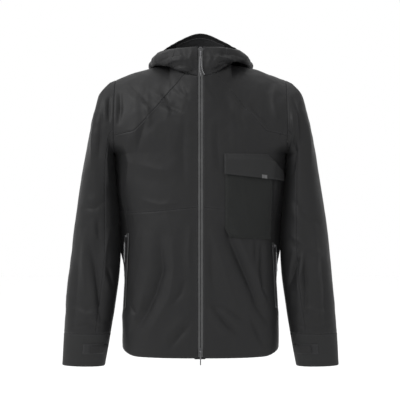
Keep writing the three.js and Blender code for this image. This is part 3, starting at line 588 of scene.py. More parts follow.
def lighter(colour, times, more=0.0):
    return (*[min(1, k * times + more) for k in colour], 1)


def clothPaint(name, base, light, stitch, weaveMm=0.55, weaveDepth=0.00007, roughness=0.56, **gloss):
    # woven cloth: a fine weave, mottled dye, a painted highlight on fold crests and a dashed row of
    # stitches beside each seam
    paint = Paint(name)
    u, v, fromEdge = clothMap(paint)
    inside = paint.node("TexCoord").outputs["Object"]
    turn = 2 * math.pi / weaveMm
    slant = paint.maths("ADD", v, paint.maths("MULTIPLY", u, 0.5))
    warp = paint.maths("SINE", paint.maths("MULTIPLY", u, turn))
    weft = paint.maths("SINE", paint.maths("MULTIPLY", slant, turn))
    weave = paint.maths("MULTIPLY", warp, weft)
    grain = paint.noise(900.0, 3.0, inside)
    mottle = paint.noise(5.5, 5.0, inside)
    cloud = paint.noise(38.0, 4.0, inside)
    tone = paint.maths("ADD", paint.maths("MULTIPLY", mottle, 0.6), paint.maths("MULTIPLY", cloud, 0.4))
    colour = paint.blend(paint.ramp(tone, 0.35, 0.65), (*base, 1), (*light, 1))
    crossing = paint.maths("MULTIPLY", paint.maths("ADD", weave, 1.0), 0.12)
    colour = paint.blend(crossing, colour, lighter(light, 1.9))
    # painted highlight: the crests of folds and creases (high pointiness) are lightened where light
    # would catch them
    pointed = paint.node("NewGeometry").outputs["Pointiness"]
    colour = paint.blend(paint.ramp(pointed, 0.515, 0.56, 0.3), colour, lighter(light, 2.1))
    height = paint.maths("ADD", paint.maths("MULTIPLY", weave, 0.5), grain)
    rough = paint.maths("ADD", roughness - 0.09, paint.maths("MULTIPLY", cloud, 0.18))
    normal = paint.bump(height, 0.5, weaveDepth)
    thread = stitches(paint, fromEdge)
    colour = paint.blend(thread, colour, (*stitch, 1))
    normal = paint.bump(thread, 0.7, 0.0004, normal)
    paint.set(Base_Color=colour, Roughness=rough, Normal=normal, Sheen_Roughness=0.45)
    paint.set(Specular_IOR_Level=gloss.get("specular", 0.24), Sheen_Weight=gloss.get("sheen", 0.02))
    return paint.material


def gridClothPaint(name, base, light):
    # the pocket's stout cloth with a raised square grid of thicker threads
    paint = Paint(name)
    u, v, fromEdge = clothMap(paint)
    ribs, fine = [], []
    for across in (u, v):
        wave = paint.maths("COSINE", paint.maths("MULTIPLY", across, math.pi / 3.4))  # 3.4 mm squares
        ribs.append(paint.maths("POWER", paint.maths("ABSOLUTE", wave), 8.0))
        fine.append(paint.maths("SINE", paint.maths("MULTIPLY", across, 11.0)))
    rib, fine = paint.maths("MAXIMUM", *ribs), paint.maths("MULTIPLY", *fine)
    mottle = paint.noise(26.0, 5.0, paint.node("TexCoord").outputs["Object"])
    colour = paint.blend(mottle, (*base, 1), (*light, 1))
    colour = paint.blend(paint.maths("MULTIPLY", rib, 0.45), colour, lighter(light, 2.0))
    thread = stitches(paint, fromEdge)
    colour = paint.blend(thread, colour, lighter(light, 2.4))
    height = paint.maths("ADD", rib, paint.maths("MULTIPLY", fine, 0.3))
    normal = paint.bump(height, 0.6, 0.00025)
    normal = paint.bump(thread, 0.7, 0.0004, normal)
    rough = paint.maths("ADD", 0.66, paint.maths("MULTIPLY", mottle, 0.2))
    paint.set(Base_Color=colour, Roughness=rough, Normal=normal)
    paint.set(Specular_IOR_Level=0.21, Sheen_Weight=0.03)
    return paint.material


def solidPaint(name, base, light, roughness, scale, metallic=0.0, specular=0.5, stretch=1, coat=0.0):
    # moulded, coated or metal finish with fine scuffs and a painted highlight along its sharp edges
    paint = Paint(name)
    inside = paint.node("TexCoord").outputs["Object"]
    where = paint.node("Mapping", {"Vector": inside, "Scale": (1, 1, stretch)}).outputs[0]
    scuff = paint.noise(scale, 6.0, where)
    broad = paint.noise(scale / 9, 4.0, inside)
    tone = paint.maths("MULTIPLY", paint.maths("ADD", scuff, broad), 0.5)
    colour = paint.blend(paint.ramp(tone, 0.38, 0.62), (*base, 1), (*light, 1))
    # painted highlight: sharp outer edges (high pointiness) are lightened as if catching the light
    pointed = paint.node("NewGeometry").outputs["Pointiness"]
    colour = paint.blend(paint.ramp(pointed, 0.53, 0.62, 0.55), colour, lighter(light, 1.8, 0.02))
    rough = paint.maths("ADD", roughness - 0.08, paint.maths("MULTIPLY", scuff, 0.16))
    paint.set(Base_Color=colour, Roughness=rough, Normal=paint.bump(scuff, 0.5, 0.00004))
    paint.set(Metallic=metallic, Specular_IOR_Level=specular, Coat_Weight=coat, Coat_Roughness=0.3)
    return paint.material


def cordPaint(name, dark, fleck):
    # braided cord with light flecks woven through it
    paint = Paint(name)
    around, v, _ = clothMap(paint)
    lengthways = paint.maths("MULTIPLY", v, 2 * math.pi / cords["braidPitch"])
    left = paint.maths("SINE", paint.maths("ADD", around, lengthways))
    right = paint.maths("SINE", paint.maths("SUBTRACT", around, lengthways))
    over = paint.maths("MAXIMUM", left, paint.maths("MULTIPLY", right, 0.97))
    strand = paint.maths("GREATER_THAN", over, 0.72)
    fuzz = paint.noise(1400.0, 3.0, paint.node("TexCoord").outputs["Object"])
    share = paint.maths("MULTIPLY", strand, paint.maths("ADD", 0.35, fuzz))
    colour = paint.blend(share, (*dark, 1), (*fleck, 1))
    paint.set(Base_Color=colour, Roughness=0.78, Normal=paint.bump(fuzz, 0.5, 0.0001))
    paint.set(Specular_IOR_Level=0.3, Sheen_Weight=0.15)
    return paint.material


colours = {
    "shell": ((0.0065, 0.0066, 0.0068), (0.0087, 0.0087, 0.0091)),
    "pocket": ((0.0037, 0.0041, 0.0039), (0.0058, 0.0064, 0.0061)),
    "flap": ((0.0068, 0.0070, 0.0073), (0.0090, 0.0092, 0.0094)),
    "lining": ((0.0092, 0.0094, 0.0100), (0.0135, 0.0137, 0.0143)),
    "stitch": (0.019, 0.019, 0.0205),
    "tab": ((0.045, 0.045, 0.046), (0.085, 0.085, 0.086)),
    "tape": ((0.0225, 0.0230, 0.0236), (0.0338, 0.0343, 0.0349)),
    "coil": ((0.0096, 0.0096, 0.0104), (0.0176, 0.0176, 0.0184)),
    "metal": ((0.0460, 0.0460, 0.0480), (0.0990, 0.0990, 0.1020)),
    "trim": ((0.0032, 0.0032, 0.0034), (0.0072, 0.0072, 0.0076)),
    "cord": ((0.0096, 0.0096, 0.0104), (0.2720, 0.2720, 0.2800)),
}
shellPaint = clothPaint("laminated shell cloth", *colours["shell"], colours["stitch"], specular=0.185)
flapPaint = clothPaint("flap cloth", *colours["flap"], colours["stitch"], 0.8, 0.00012, 0.68)
liningPaint = clothPaint(
    "lining cloth", *colours["lining"], colours["stitch"], 0.9, 0.0001, 0.78, sheen=0.08,
)
pocketPaint = gridClothPaint("gridded pocket cloth", *colours["pocket"])
tapePaint = solidPaint("coated zip tape", *colours["tape"], 0.36, 120.0, stretch=0.25, coat=0.25)
coilPaint = solidPaint("coil teeth", *colours["coil"], 0.42, 300.0)
metalPaint = solidPaint("brushed slider metal", *colours["metal"], 0.34, 420.0, 0.9, stretch=0.2)
trimPaint = solidPaint("moulded trim", *colours["trim"], 0.62, 240.0, specular=0.25)
tabPaint = solidPaint("pale moulded tab", *colours["tab"], 0.5, 240.0)
braidPaint = cordPaint("braided cord", *colours["cord"])
print("materials ready")


def seat(piece, body, node):
    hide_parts(node)
    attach(piece, body)
    return piece


clothLooks = {  # each one's paint and slot
    "shell": (shellPaint, "shell_cloth"),
    "cuff": (flapPaint, "shell_cloth"),
    "pocket": (pocketPaint, "pocket_cloth"),
    "flap": (flapPaint, "pocket_cloth"),
    "lining": (liningPaint, "lining_cloth"),
}


def sew(name, node, patches, look, thickness=1.1, weld=0.02, body="jacket", flat=None):
    paint, slotName = clothLooks[look]
    piece = seat(joinPatches(name, patches, paint, thickness, weld), body, node)
    flat = flat or patches[0]["size"]


def smoothPath(corners):
    corners = np.asarray(corners, float)
    places = np.concatenate([[0], np.cumsum(np.linalg.norm(np.diff(corners, axis=0), axis=1))])
    rows = np.column_stack([places, corners])
    return along(rows, np.linspace(0, places[-1], int(places[-1] / cords["pointGap"])))


def crossAxes(path, up):
    # directions along a path and two across it
    steps = np.gradient(path, axis=0)
    steps /= np.linalg.norm(steps, axis=1, keepdims=True)
    side = np.cross(steps, up)
    side /= np.linalg.norm(side, axis=1, keepdims=True)
    return steps, side, np.cross(steps, side)


def tubeFaces(count, around):
    # quads between rings of points, then a fan at each end about the last two points
    ring = [(j, (j + 1) % around) for j in range(around)]
    first, last, end = count * around, count * around + 1, (count - 1) * around
    faces = []
    for row in range(0, end, around):
        faces += [[row + j, row + k, row + around + k, row + around + j] for j, k in ring]
    return faces + [[first, k, j] for j, k in ring] + [[last, end + j, end + k] for j, k in ring]


def braidedCord(name, corners, body):
    path = smoothPath(corners)
    steps, side, other = crossAxes(path, [0, 1, 0.1])
    around = np.linspace(0, 2 * math.pi, 19)[:-1]
    place = np.arange(len(path)) * cords["pointGap"]
    turned = 2 * math.pi / cords["braidPitch"] * place[:, None]
    strands = np.maximum(np.sin(3 * around[None] + turned), np.sin(3 * around[None] - turned))
    radius = cords["diameter"] / 2 * (0.94 + 0.07 * strands)
    radius[0] *= 0.9
    radius[-1] *= 0.8
    ring = side[:, None] * np.cos(around)[:, None] + other[:, None] * np.sin(around)[:, None]
    points = (path[:, None] + ring * radius[..., None]).reshape(-1, 3)
    points = np.concatenate([points, [path[0] - steps[0] * 0.1, path[-1] + steps[-1] * 0.25]])
    mesh = bpy.data.meshes.new(name)
    mesh.from_pydata(toFrame(points).tolist(), [], tubeFaces(len(path), len(around)))
    field = np.broadcast_arrays(3 * around[None], place[:, None], 0 * place[:, None])
    field = np.stack(field, -1).reshape(-1, 3)
    addField(mesh, "cloth", "FLOAT_VECTOR", np.concatenate([field, [[0, 0, 0], [0, place[-1], 0]]]))
    mesh.shade_smooth()
    piece = newPiece(name + "_braid", mesh, braidPaint)
    track = toFrame(path)
    length = float(np.sum(np.linalg.norm(np.diff(track, axis=0), axis=1)))
    seat(piece, body, name)
    return length


for strand in "ab":
    left = np.array(cords["leftHand"][strand])
    right = (left + cords["rightShift"]) * [-1, 1, 1]
    for place, corners in (("top", cords["top"][strand]), ("left_hand", left), ("right_hand", right)):
        length = braidedCord(f"{place}_cord_{strand}", corners, f"{place}_pull")
        print(f"{place} cord {strand} ready, {length:.4f} m")


panels = {
    "step": 3.3,  # between the cloth's points
    "arcWidth": 200.0,  # of the quarter round that the points are spaced on
    "arcDepth": 118.0,
    "facingRise": (1.2, 26.0),  # of the hem facing above the hem
    "facingInset": 17.0,  # from the middle of the zip
    "facingOut": -1.7,
    "facingZ": -705.0,  # where that inset is taken
    "bagFrom": 0.42,  # share of the half width where a hand pocket's bag begins
    "bagRise": 34.0,
    "bagTopZ": -419.0,
    "bagOut": -2.4,
}
bend = np.linspace(0, 1, 800) * np.pi / 2
arcShare = np.sin(bend) ** (2 / torso["squareness"])
arcDepth = np.cos(bend) ** (2 / torso["squareness"])
arcSteps = np.hypot(np.diff(arcShare * panels["arcWidth"]), np.diff(arcDepth * panels["arcDepth"]))
arcLength = np.concatenate([[0], np.cumsum(arcSteps)])


def sideShares():
    # shares of the half width from the middle to the side, evenly spaced on the cloth
    return np.interp(ticks(arcLength[-1], panels["step"]) * arcLength[-1], arcLength, arcShare)


def edges(*names):
    # sewn edges, where the stitches at a corner follow the edge named first
    return dict.fromkeys(names, True)


allRound = edges("bottom", "top", "left", "right")
hemLast = edges("top", "left", "right", "bottom")
topLast = edges("bottom", "left", "right", "top")


def lineZ(corners, x):
    corners = np.asarray(corners, float)
    return np.interp(x, corners[:, 0], corners[:, 1])


def fromZip(share, width):
    return torso["zipEdge"] + share * (width - torso["zipEdge"])


def frontGrid(low, high, length, sewn, sign):
    # cloth between two lines, from the zip to the side seam
    z = mix(low, high, ticks(length, panels["step"])[:, None])
    x = fromZip(sideShares()[None], widthAt(z))
    return patch(torsoAt(x, z, -1), 1, sewn, "torso", mirror=sign < 0)


def chestSeamAt(share):
    return lineZ(torso["chestSeam"], fromZip(share, widthAt(np.array(torso["chestSeamZ"]))))


def chestPanel(sign):
    topX = fromZip(sideShares()[None], armholeX)
    top = np.where(topX < torso["yokeFrontX"], topEdge(topX, -1), lineZ(torso["yokeSeam"], topX))
    return frontGrid(chestSeamAt(sideShares()[None]), top, 330, allRound, sign)


def frontPanel(sign):
    u = sideShares()[None]
    return frontGrid(hemAt(u), chestSeamAt(u), 360, hemLast, sign)


def acrossBack():
    half = sideShares()
    return np.concatenate([-half[::-1], half[1:]])[None]


def backPanel():
    share = acrossBack()
    z = mix(hemAt(share), torso["backSeamZ"], ticks(590, panels["step"])[:, None])
    return patch(torsoAt(share * widthAt(z), z, 1), -1, hemLast, "torso")


def yokePatches():
    point, shoulder = torso["yokeFrontX"], armholeX - neckHalf
    outer = neckHalf + ticks(shoulder)[1:] * shoulder
    inner = np.concatenate([np.linspace(point, neckHalf, 14), outer])
    middle = np.linspace(-point, point, 23)
    across = np.concatenate([-inner[::-1], middle[1:-1], inner])[None]

    def strip(x, low, facing, rows):
        top = topEdge(x, facing)
        lowRise = np.clip((low - armpitZ) / (top - armpitZ), 0, 1)
        turn = mix(np.arcsin(lowRise**1.1), np.pi / 2, rows[:, None])
        rise = np.sin(turn) ** (1 / 1.1)
        return torsoAt(x, armpitZ + rise * (top - armpitZ), facing)

    rows = ticks(150, 3.0)
    back = strip(across, np.full_like(across, torso["backSeamZ"]), 1, rows)
    start = lengthsAlong(back, 0)[-1][-len(inner):][None]
    made = [patch(back, -1, {**allRound, "top": np.abs(across) <= neckHalf}, "torso")]
    x = inner[None]
    front = strip(x, lineZ(torso["yokeSeam"], x), -1, rows)
    sewn = {"bottom": True, "top": x <= neckHalf, "right": True}
    for mirror in (False, True):
        made.append(patch(front, 1, sewn, "torso", start=start, mirror=mirror))
    return made


def hemStrip(facing):
    # the facing inside the hem, following the shell's own folds
    share = acrossBack()
    if facing < 0:
        first = panels["facingInset"] / widthAt(np.array(panels["facingZ"]))
        share = np.concatenate([[first], share[share > first]])[None]
    z = hemAt(share) + mix(*panels["facingRise"], ticks(25, 2.4)[:, None])
    return torsoAt(share * widthAt(z), z, facing)


def pocketBag(sign):
    # a flat bag behind a lower front, with a rounded lower corner
    half = sideShares()
    share = half[half > panels["bagFrom"]][None]
    low = hemAt(share) + panels["bagRise"] + 26 * np.clip((0.56 - share) / 0.14, 0, 1) ** 2
    high = panels["bagTopZ"] - 48 * np.clip((0.72 - share) / 0.3, 0, 1)
    z = mix(low, high, ticks(260, 3.6)[:, None])
    base = torsoAt(share * widthAt(z), z, -1)
    return patch(base, 1, edges("bottom", "left"), "torso", panels["bagOut"], mirror=sign < 0)


for side, sign in sides:
    for kind, maker in (("chest", chestPanel), ("front", frontPanel)):
        sew(f"{side}_{kind}_cloth", f"{side}_{kind}", [maker(sign)], "shell")
sew("back_cloth", "back_panel", [backPanel()], "shell")
cloth = yokePatches()
flat = (cloth[0]["size"][0], cloth[0]["size"][1] + cloth[1]["size"][1])
sew("yoke_cloth", "shoulder_yoke", cloth, "shell", weld=0.6, flat=flat)
cloth = [patch(hemStrip(1), -1, edges("top"), "torso", panels["facingOut"])]
for mirror in (False, True):
    cloth.append(patch(hemStrip(-1), 1, edges("top"), "torso", panels["facingOut"], mirror=mirror))
flat = (sum(one["size"][0] for one in cloth), cloth[0]["size"][1])
sew("hem_facing_cloth", "hem_facing", cloth, "lining", 0.8, 0.3, flat=flat)
for side, sign in sides:
    node = f"{side}_hand_pocket_bag"
    sew(f"{side}_hand_pocket_cloth", node, [pocketBag(sign)], "lining", 0.7)
print("torso ready")


sleeve = {
    "rings": [  # place, outer x and z, inner x and z, depth and middle y
        [0, armholeX, -27, armholeX, armpitZ, 80, 0],
        [1, 235, -41, 217, -217, 82, 0],
        [2, 253, -63, 217, -220, 84, 1],
        [3, 265, -96, 217.5, -224, 84, 2],
        [4, 275, -134, 217.5, -231, 83, 2],
        [5, 284, -172, 217, -241, 82, 2],
        [6, 292, -212, 216, -258, 80, 2],
        [7, 300, -260, 213, -288, 78, 2],
        [8, 309, -320, 209, -336, 76, 2],
        [9, 318, -385, 205, -396, 73, 0],
        [10, 326, -450, 203, -456, 70, -3],
        [11, 333, -515, 206, -518, 66, -8],
        [12, 339, -580, 214, -581, 61, -13],
        [13, 344, -645, 224, -646, 54, -18],
        [14, 347, -700, 233, -701, 45, -22],
        [15, 349, -747, 242, -749, 37, -24],
    ],
    "squareness": 2.2,
    "underSeam": 112.0,  # degrees from the outer edge round the front
    "cuffStart": 13.35,  # place along the rings
    "patchPlaces": (13.8, 14.31),
    "patchAngles": (88.0, 146.0),
}


def sleeveAt(place, degrees):
    place, degrees = np.broadcast_arrays(np.asarray(place, float), np.asarray(degrees, float))
    outerX, outerZ, innerX, innerZ, depth, middleY = np.moveaxis(along(sleeve["rings"], place), -1, 0)
    angle = np.radians(degrees)
    power = 2 / sleeve["squareness"]
    c, s = (np.sign(turn) * np.abs(turn) ** power for turn in (np.cos(angle), np.sin(angle)))
    midX, midZ = (outerX + innerX) / 2, (outerZ + innerZ) / 2
    free = np.stack([midX + (outerX - midX) * c, middleY - depth * s, midZ + (outerZ - midZ) * c], -1)
    sewnZ = mix(midZ, outerZ, np.cos(angle))
    edge = np.full_like(sewnZ, armholeX)
    sewnY = np.where(s >= 0, torsoAt(edge, sewnZ, -1)[..., 1], torsoAt(edge, sewnZ, 1)[..., 1])
    sewn = np.stack([midX + (outerX - midX) * c, sewnY, sewnZ], -1)
    return mix(sewn, free, smooth(place / 5)[..., None])


def placesByLength(start, end, rows):
    fine = np.linspace(start, end, 400)
    line = sleeveAt(fine, 60)
    lengths = np.concatenate([[0], np.cumsum(np.linalg.norm(np.diff(line, axis=0), axis=1))])
    return np.interp(rows * lengths[-1], lengths, fine)


def sleevePatch(places, angles, sewn, sign, out=0.0):
    part = "leftSleeve" if sign > 0 else "rightSleeve"
    return patch(sleeveAt(places[:, None], angles[None]), 1, sewn, part, out, mirror=sign < 0)


upperPlaces = placesByLength(0, sleeve["cuffStart"], ticks(690, panels["step"]))
cuffPlaces = placesByLength(sleeve["cuffStart"], 15, ticks(90, 2.6))
for side, sign in sides:
    seam = sleeve["underSeam"]
    topAngles = mix(-seam, seam, ticks(290, panels["step"]))
    underAngles = mix(seam, 360 - seam, ticks(170, panels["step"]))
    for node, angles in ((f"{side}_sleeve_top", topAngles), (f"{side}_sleeve_under", underAngles)):
        cloth = sleevePatch(upperPlaces, angles, allRound, sign)
        sew(node + "_cloth", node, [cloth], "shell")
    cuff = sleevePatch(cuffPlaces, np.linspace(0, 360, 90), edges("bottom", "top"), sign, 0.15)
    sew(f"{side}_cuff_cloth", f"{side}_cuff", [cuff], "cuff", 1.6, 0.3)
    places = placesByLength(*sleeve["patchPlaces"], ticks(28, 2.0))
    closure = sleevePatch(places, mix(*sleeve["patchAngles"], ticks(60, 2.2)), allRound, sign, 1.7)
    sew(f"{side}_cuff_closure", f"{side}_cuff_patch", [closure], "lining", 0.9)
print("sleeves ready")


hood = {
    "rows": [  # degrees round the neck, then how far out and how high at each share of the way
        [0, 0, -14, 0, -2, 0, 12, 0, 30, 0, 47],
        [10, 0, -14, 1, -8, 2, 0, 2, 22, 0, 47],
        [24, 3, -14, 9, -15, 13, -5, 12, 18, 3, 46],
        [48, 5, 4, 16, -3, 26, 3, 30, 22, 17, 45],
        [72, 7, 19, 21, 12, 37, 9, 43, 26, 27, 43],
        [95, 9, 24, 28, 14, 45, 7, 53, 18, 33, 38],
        [120, 10, 24, 34, 4, 58, -16, 71, 16, 44, 52],
        [150, 12, 16, 42, -34, 66, -98, 84, 0, 49, 85],
        [180, 13, 12, 44, -50, 62, -140, 88, -6, 46, 109],
        [210, 12, 16, 42, -34, 66, -98, 80, -14, 52, 85],
    ],
    "leftLift": 13.0,  # how much higher the wearer's left roll hangs at the front
    "lengths": [0.1, 0.3, 0.55, 0.8, 1],  # shares of the way, one for each pair in a row
    "collarEnd": 42.0,
    "centreStart": 140.0,
    "peakAngles": (150.0, 210.0),
    "peak": (0.84, 0.98),  # shares of the way to the free edge
}


def hoodAt(degrees, shares, lift=0.0):
    # a grid of hood points, one row for each share of the way from the neck seam to the free edge
    columns = []
    for angle in degrees:
        size = min(angle, 360 - angle)
        row = along(hood["rows"], np.array(size))
        s, c = math.sin(math.radians(angle)), math.cos(math.radians(angle))
        seam = mix(torso["neckFrontZ"] if size < 90 else 0.0, torso["neckSideZ"], s * s) + 1.0
        profile = [[0, 0, seam]]
        profile += [[at, row[2 * i], row[2 * i + 1]] for i, at in enumerate(hood["lengths"])]
        raised = lift * smooth((size - 9) / 16) * smooth((100 - size) / 50)
        for level, share in ((1, 0.4), (2, 1.0), (3, 0.9), (4, 0.3)):
            profile[level][2] += raised * share
        out, z = along(profile, np.asarray(shares)).T
        sideY = torso["neckSideY"]
        deep = sideY - zipY(z) if c > 0 else torso["neckBackY"] - sideY
        columns.append(np.stack([s * (neckHalf + out), sideY - c * (deep + out), z], -1))
    return np.stack(columns, 1)


zipAngle = math.degrees(math.asin(torso["zipEdge"] / neckHalf))
hoodRows = ticks(190, 2.8)
for side, sign in sides:
    collarAngles = mix(zipAngle, hood["collarEnd"], ticks(56, 2.6))
    sideAngles = mix(hood["collarEnd"], hood["centreStart"], ticks(190, 2.8))
    for node, angles in ((f"{side}_collar", collarAngles), (f"{side}_hood_side", sideAngles)):
        grid = hoodAt(angles, hoodRows, hood["leftLift"] if sign > 0 else 0.0)
        cloth = patch(grid, 1, allRound, "hood", mirror=sign < 0)
        sew(node + "_cloth", node, [cloth], "shell")
angles = mix(hood["centreStart"], 360 - hood["centreStart"], ticks(150, 2.8))
cloth = patch(hoodAt(angles, hoodRows), 1, allRound, "hood")
sew("hood_centre_cloth", "hood_centre", [cloth], "shell")
grid = hoodAt(mix(*hood["peakAngles"], ticks(90, 2.8)), mix(*hood["peak"], ticks(36, 2.6)))
cloth = patch(grid, 1, allRound, "hood", -1.9)
sew("hood_peak_lining", "hood_peak", [cloth], "lining", 1.0)
print("hood ready")


pocket = {
    "leftX": 60.0,
    "rightX": 180.0,
    "topZ": -233.0,
    "bottomZ": -430.0,
    "bulk": 4.4,  # how far it stands off the chest
    "flapEndX": 170.0,
    "flapWidest": 203.0,
    "flapTopZ": -217.0,
    "flapDrop": (51.0, 66.0),  # near the zip, and at the side
    "flapStart": 1.6,  # how far the flap's sewn edge stands off the chest
    "flapLift": 8.7,  # and how far its lower part does
    "flapCut": (0.146, 0.067),  # metres
    "tabAcross": (0.62, 0.7),  # shares of the flap's width
    "tabDown": (0.86, 1.0),
    "tabLift": 1.5,
}


def overChest(x, z, out, sewn, rollIn=0.7):
    # a grid in front of the chest's folded cloth
    base = torsoAt(x, z, -1)
    normals = gridNormals(base, 1)
    lifted = base + normals * out[..., None]
    made = patch(lifted, 1, sewn, rollIn=rollIn)
    shift = (clothShift(base, normals, "torso") * calm(base, "torso")).reshape(-1, 1)
    made["points"] = made["points"] + normals.reshape(-1, 3) * np.maximum(shift, -2.5)
    return made


softEdge = (0, 0.9, 1.9, 3.2, 4.8, 6.6, 8.6)
across = ticks(122, 2.4, softEdge)[None]
down = ticks(200, 2.4, softEdge)[::-1, None]
inner = pocket["leftX"] + 10 * smooth((down - 0.88) / 0.12)
x = mix(inner, mix(pocket["rightX"], pocket["rightX"] - 6, down), across)
z = mix(pocket["topZ"], pocket["bottomZ"] + 6 * (1 - across), down)
edge = np.minimum(np.minimum(across, 1 - across), (1 - down) * 1.6)
slack = waves(np.stack(np.broadcast_arrays(x, z * 0, z), -1), (38, 40, 60), 31)
gather = np.exp(-(((across - 0.3 - 0.25 * down) / 0.05) ** 2)) * smooth(down / 0.3) * (1 - down)
out = 1 + (pocket["bulk"] - 1) * smooth(edge / 0.07) * mix(0.35, 1, smooth(down / 0.1))
out = out + 1.1 + (0.8 * slack + 1.3 * gather) * smooth(edge / 0.12) * smooth(down / 0.35)
body = overChest(x, z, out, topLast)
sew("chest_pocket_cloth", "chest_pocket", [body], "pocket", 1.0)


def flapGrid(across, down, extra=0.0):
    end = mix(pocket["flapEndX"], pocket["flapWidest"], smooth(down / 0.75))
    x = mix(pocket["leftX"] - 2, end, across)
    z = pocket["flapTopZ"] - down * mix(*pocket["flapDrop"], across)
    slack = waves(np.stack(np.broadcast_arrays(x, z * 0, z), -1), (30, 40, 34), 41)
    out = mix(pocket["flapStart"], pocket["flapLift"], smooth(down / 0.3)) + 1.2 * down**3
    return x, z, out + extra + 0.7 * np.maximum(slack, -0.6) * smooth(down / 0.4)


flap = overChest(*flapGrid(ticks(145, 2.2)[None], ticks(67, 2.2)[::-1, None]), hemLast, 0.5)
sew(
    "pocket_flap_cloth", "pocket_flap", [flap], "flap", 1.0,
    body="pocket_flap", flat=pocket["flapCut"],
)
across = mix(*pocket["tabAcross"], ticks(11, 0.9, (0, 0.5, 1.1)))[None]
down = mix(*pocket["tabDown"], ticks(8, 0.8, (0, 0.5)))[::-1, None]
tab = overChest(*flapGrid(across, down, pocket["tabLift"]), {}, 0.0)
tab = joinPatches("flap_tab_moulding", [tab], tabPaint)
seat(tab, "pocket_flap", "flap_tab")
print("pocket ready")


zips = {
    "collarTopZ": 47.0,
    "tapeDepth": 3.4,
    "tapeColumns": [0.3, 0.45, 0.8, 1.3, 1.9, 2.6, 3.2, 3.8, 4.6, 5.6, 6.8, 8.0, 9.0],
    "coilHalf": 2.3,
    "coilPitch": 1.9,
    "coilWire": 0.42,
}


def coatedTape(sign):
    z = np.arange(hemZ + 3.5, zips["collarTopZ"] - 3.5, 1.4)[:, None]
    x, z = np.broadcast_arrays(np.array(zips["tapeColumns"])[None], z)
    edge = 0.55 * np.exp(-(((x - 0.3) / 0.35) ** 2))
    ridge = 0.6 * np.exp(-(((x - 1.9) / 1.2) ** 2)) * (1 + 0.13 * np.sin(z * 2 * math.pi / 2.8))
    wave = 0.35 * waves(np.stack([x * 0, z * 0, z], -1), 46, 61)
    y = zipY(z) + zips["tapeDepth"] - ridge + edge - wave
    return patch(np.stack([x, y, z], -1), 1, edges("right"), rollIn=0.2, mirror=sign < 0)


def coil(sign):
    # interlocking coil turns behind one tape
    low, high = hemZ + 6, zips["collarTopZ"] - 7
    pitch, half = zips["coilPitch"], zips["coilHalf"] / 2
    turn = np.arange(int((high - low) / pitch * 10)) / 10 * 2 * math.pi
    z = low + turn / (2 * math.pi) * pitch + (pitch / 2 if sign < 0 else 0)
    x = half + 0.45 + (half - 0.1) * np.cos(turn)
    y = zipY(z) + zips["tapeDepth"] + 2.2 + 0.45 * np.sin(turn)
    path = np.stack([x, y, z], -1)
    _, side, other = crossAxes(path, [0, 0, 1])
    corners = np.array([[1, 0], [0, 1], [-1, 0], [0, -1]]) * zips["coilWire"]
    points = path[:, None] + corners[:, :1] * side[:, None] + corners[:, 1:] * other[:, None]
    return points * [sign, 1, 1]


def tubeMesh(name, rings, material):
    # a closed tube through rings of points
    count, around = rings.shape[:2]
    points = np.concatenate([rings.reshape(-1, 3), rings[[0, -1]].mean(1)])
    mesh = bpy.data.meshes.new(name)
    mesh.from_pydata(toFrame(points).tolist(), [], tubeFaces(count, around))
    work = bmesh.new()
    work.from_mesh(mesh)
    bmesh.ops.recalc_face_normals(work, faces=work.faces)
    work.to_mesh(mesh)
    work.free()
    mesh.shade_smooth()
    return newPiece(name, mesh, material)


for side, sign in sides:
    tape = joinPatches(f"{side}_zip_tape_coated", [coatedTape(sign)], tapePaint, 0.8)
    seat(tape, "jacket", f"{side}_zip_tape")
    seat(tubeMesh(f"{side}_zip_coil", coil(sign), coilPaint), "jacket", f"{side}_zip_teeth")


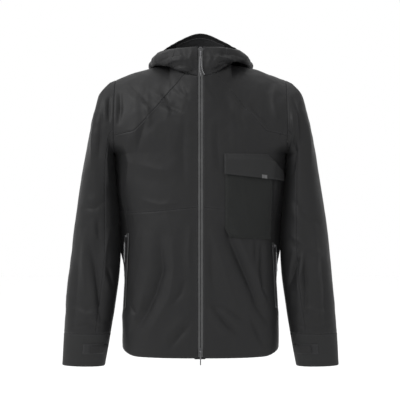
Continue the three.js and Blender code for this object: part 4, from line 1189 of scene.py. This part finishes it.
def finishedCopy(node, body, material, bevel=0.0, cuts=0, jitter=0.0):
    # a CAD piece's own shape with rounded edges, and for soft ones a denser, slightly uneven surface
    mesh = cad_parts[node].data.copy()
    mesh.materials.clear()
    work = bmesh.new()
    work.from_mesh(mesh)
    bmesh.ops.remove_doubles(work, verts=work.verts, dist=1e-6)
    bmesh.ops.dissolve_limit(work, angle_limit=math.radians(2), verts=work.verts, edges=work.edges)
    if cuts:
        bmesh.ops.triangulate(work, faces=work.faces)
    for _ in range(cuts):
        long = [edge for edge in work.edges if edge.calc_length() > 0.005]
        if long:
            bmesh.ops.subdivide_edges(work, edges=long, cuts=1)
            bmesh.ops.triangulate(work, faces=[f for f in work.faces if len(f.verts) > 3])
    work.to_mesh(mesh)
    work.free()
    places = np.array([v.co for v in mesh.vertices])
    if jitter:
        normals = np.array([v.normal for v in mesh.vertices])
        places = places + normals * (jitter * 0.001 * waves(places * 1000, 14, 71))[:, None]
        mesh.vertices.foreach_set("co", places.astype(np.float32).ravel())
    piece = newPiece(node + "_finished", mesh, material)
    x, _, z = places.T * 1000
    addField(mesh, "cloth", "FLOAT_VECTOR", np.stack([x, z, np.full_like(x, 50)], -1))
    if bevel:
        rounding = piece.modifiers.new("rounded edges", "BEVEL")
        rounding.width = bevel * 0.001
        rounding.segments = 3
        rounding.limit_method = "ANGLE"
        rounding.angle_limit = math.radians(28)
        rounding.harden_normals = True
        mesh.shade_smooth()
    return seat(piece, body, node)


metalBevel = 0.3  # mm
sidePieces = {  # on each side: body, slot, paint and bevel
    "hand_slider": ("", "slider_metal", metalPaint, 0.22),
    "hand_pull": ("", "slider_metal", metalPaint, 0.22),
    "hand_zip_tape": ("jacket", "coated_tape", tapePaint, 0.35),
    "hand_zip_teeth": ("jacket", "coil", coilPaint, 0.2),
    "cuff_tab": ("", "moulded_trim", trimPaint, 0.4),
    "hem_cord_lock": ("jacket", "moulded_trim", trimPaint, 0.8),
}
for node in ("top_slider", "bottom_slider", "top_pull", "bottom_pull", "top_stop"):
    body = "jacket" if node == "top_stop" else node
    finishedCopy(node, body, metalPaint, metalBevel)
for side, _ in sides:
    for kind, (body, slotName, paint, bevel) in sidePieces.items():
        node = f"{side}_{kind}"
        finishedCopy(node, body or node, paint, bevel, 1 if kind == "cuff_tab" else 0)
print("zips ready")
strips = {  # cut width and length in metres, and what it hangs from
    "storm_flap": ((0.027, 0.717), "right_front"),
    "neck_tape": ((0.168, 0.013), "shoulder_yoke"),
    "care_label": ((0.034, 0.04), "shoulder_yoke"),
}
for node, (flat, holder) in strips.items():
    piece = finishedCopy(node, "jacket", liningPaint, 0.0, 3, 0.25)
finishedCopy("hanger_loop", "jacket", liningPaint, 0.35, 1)
finishedCopy("hem_drawcord", "jacket", braidPaint, 0.4)
print("inner pieces ready")
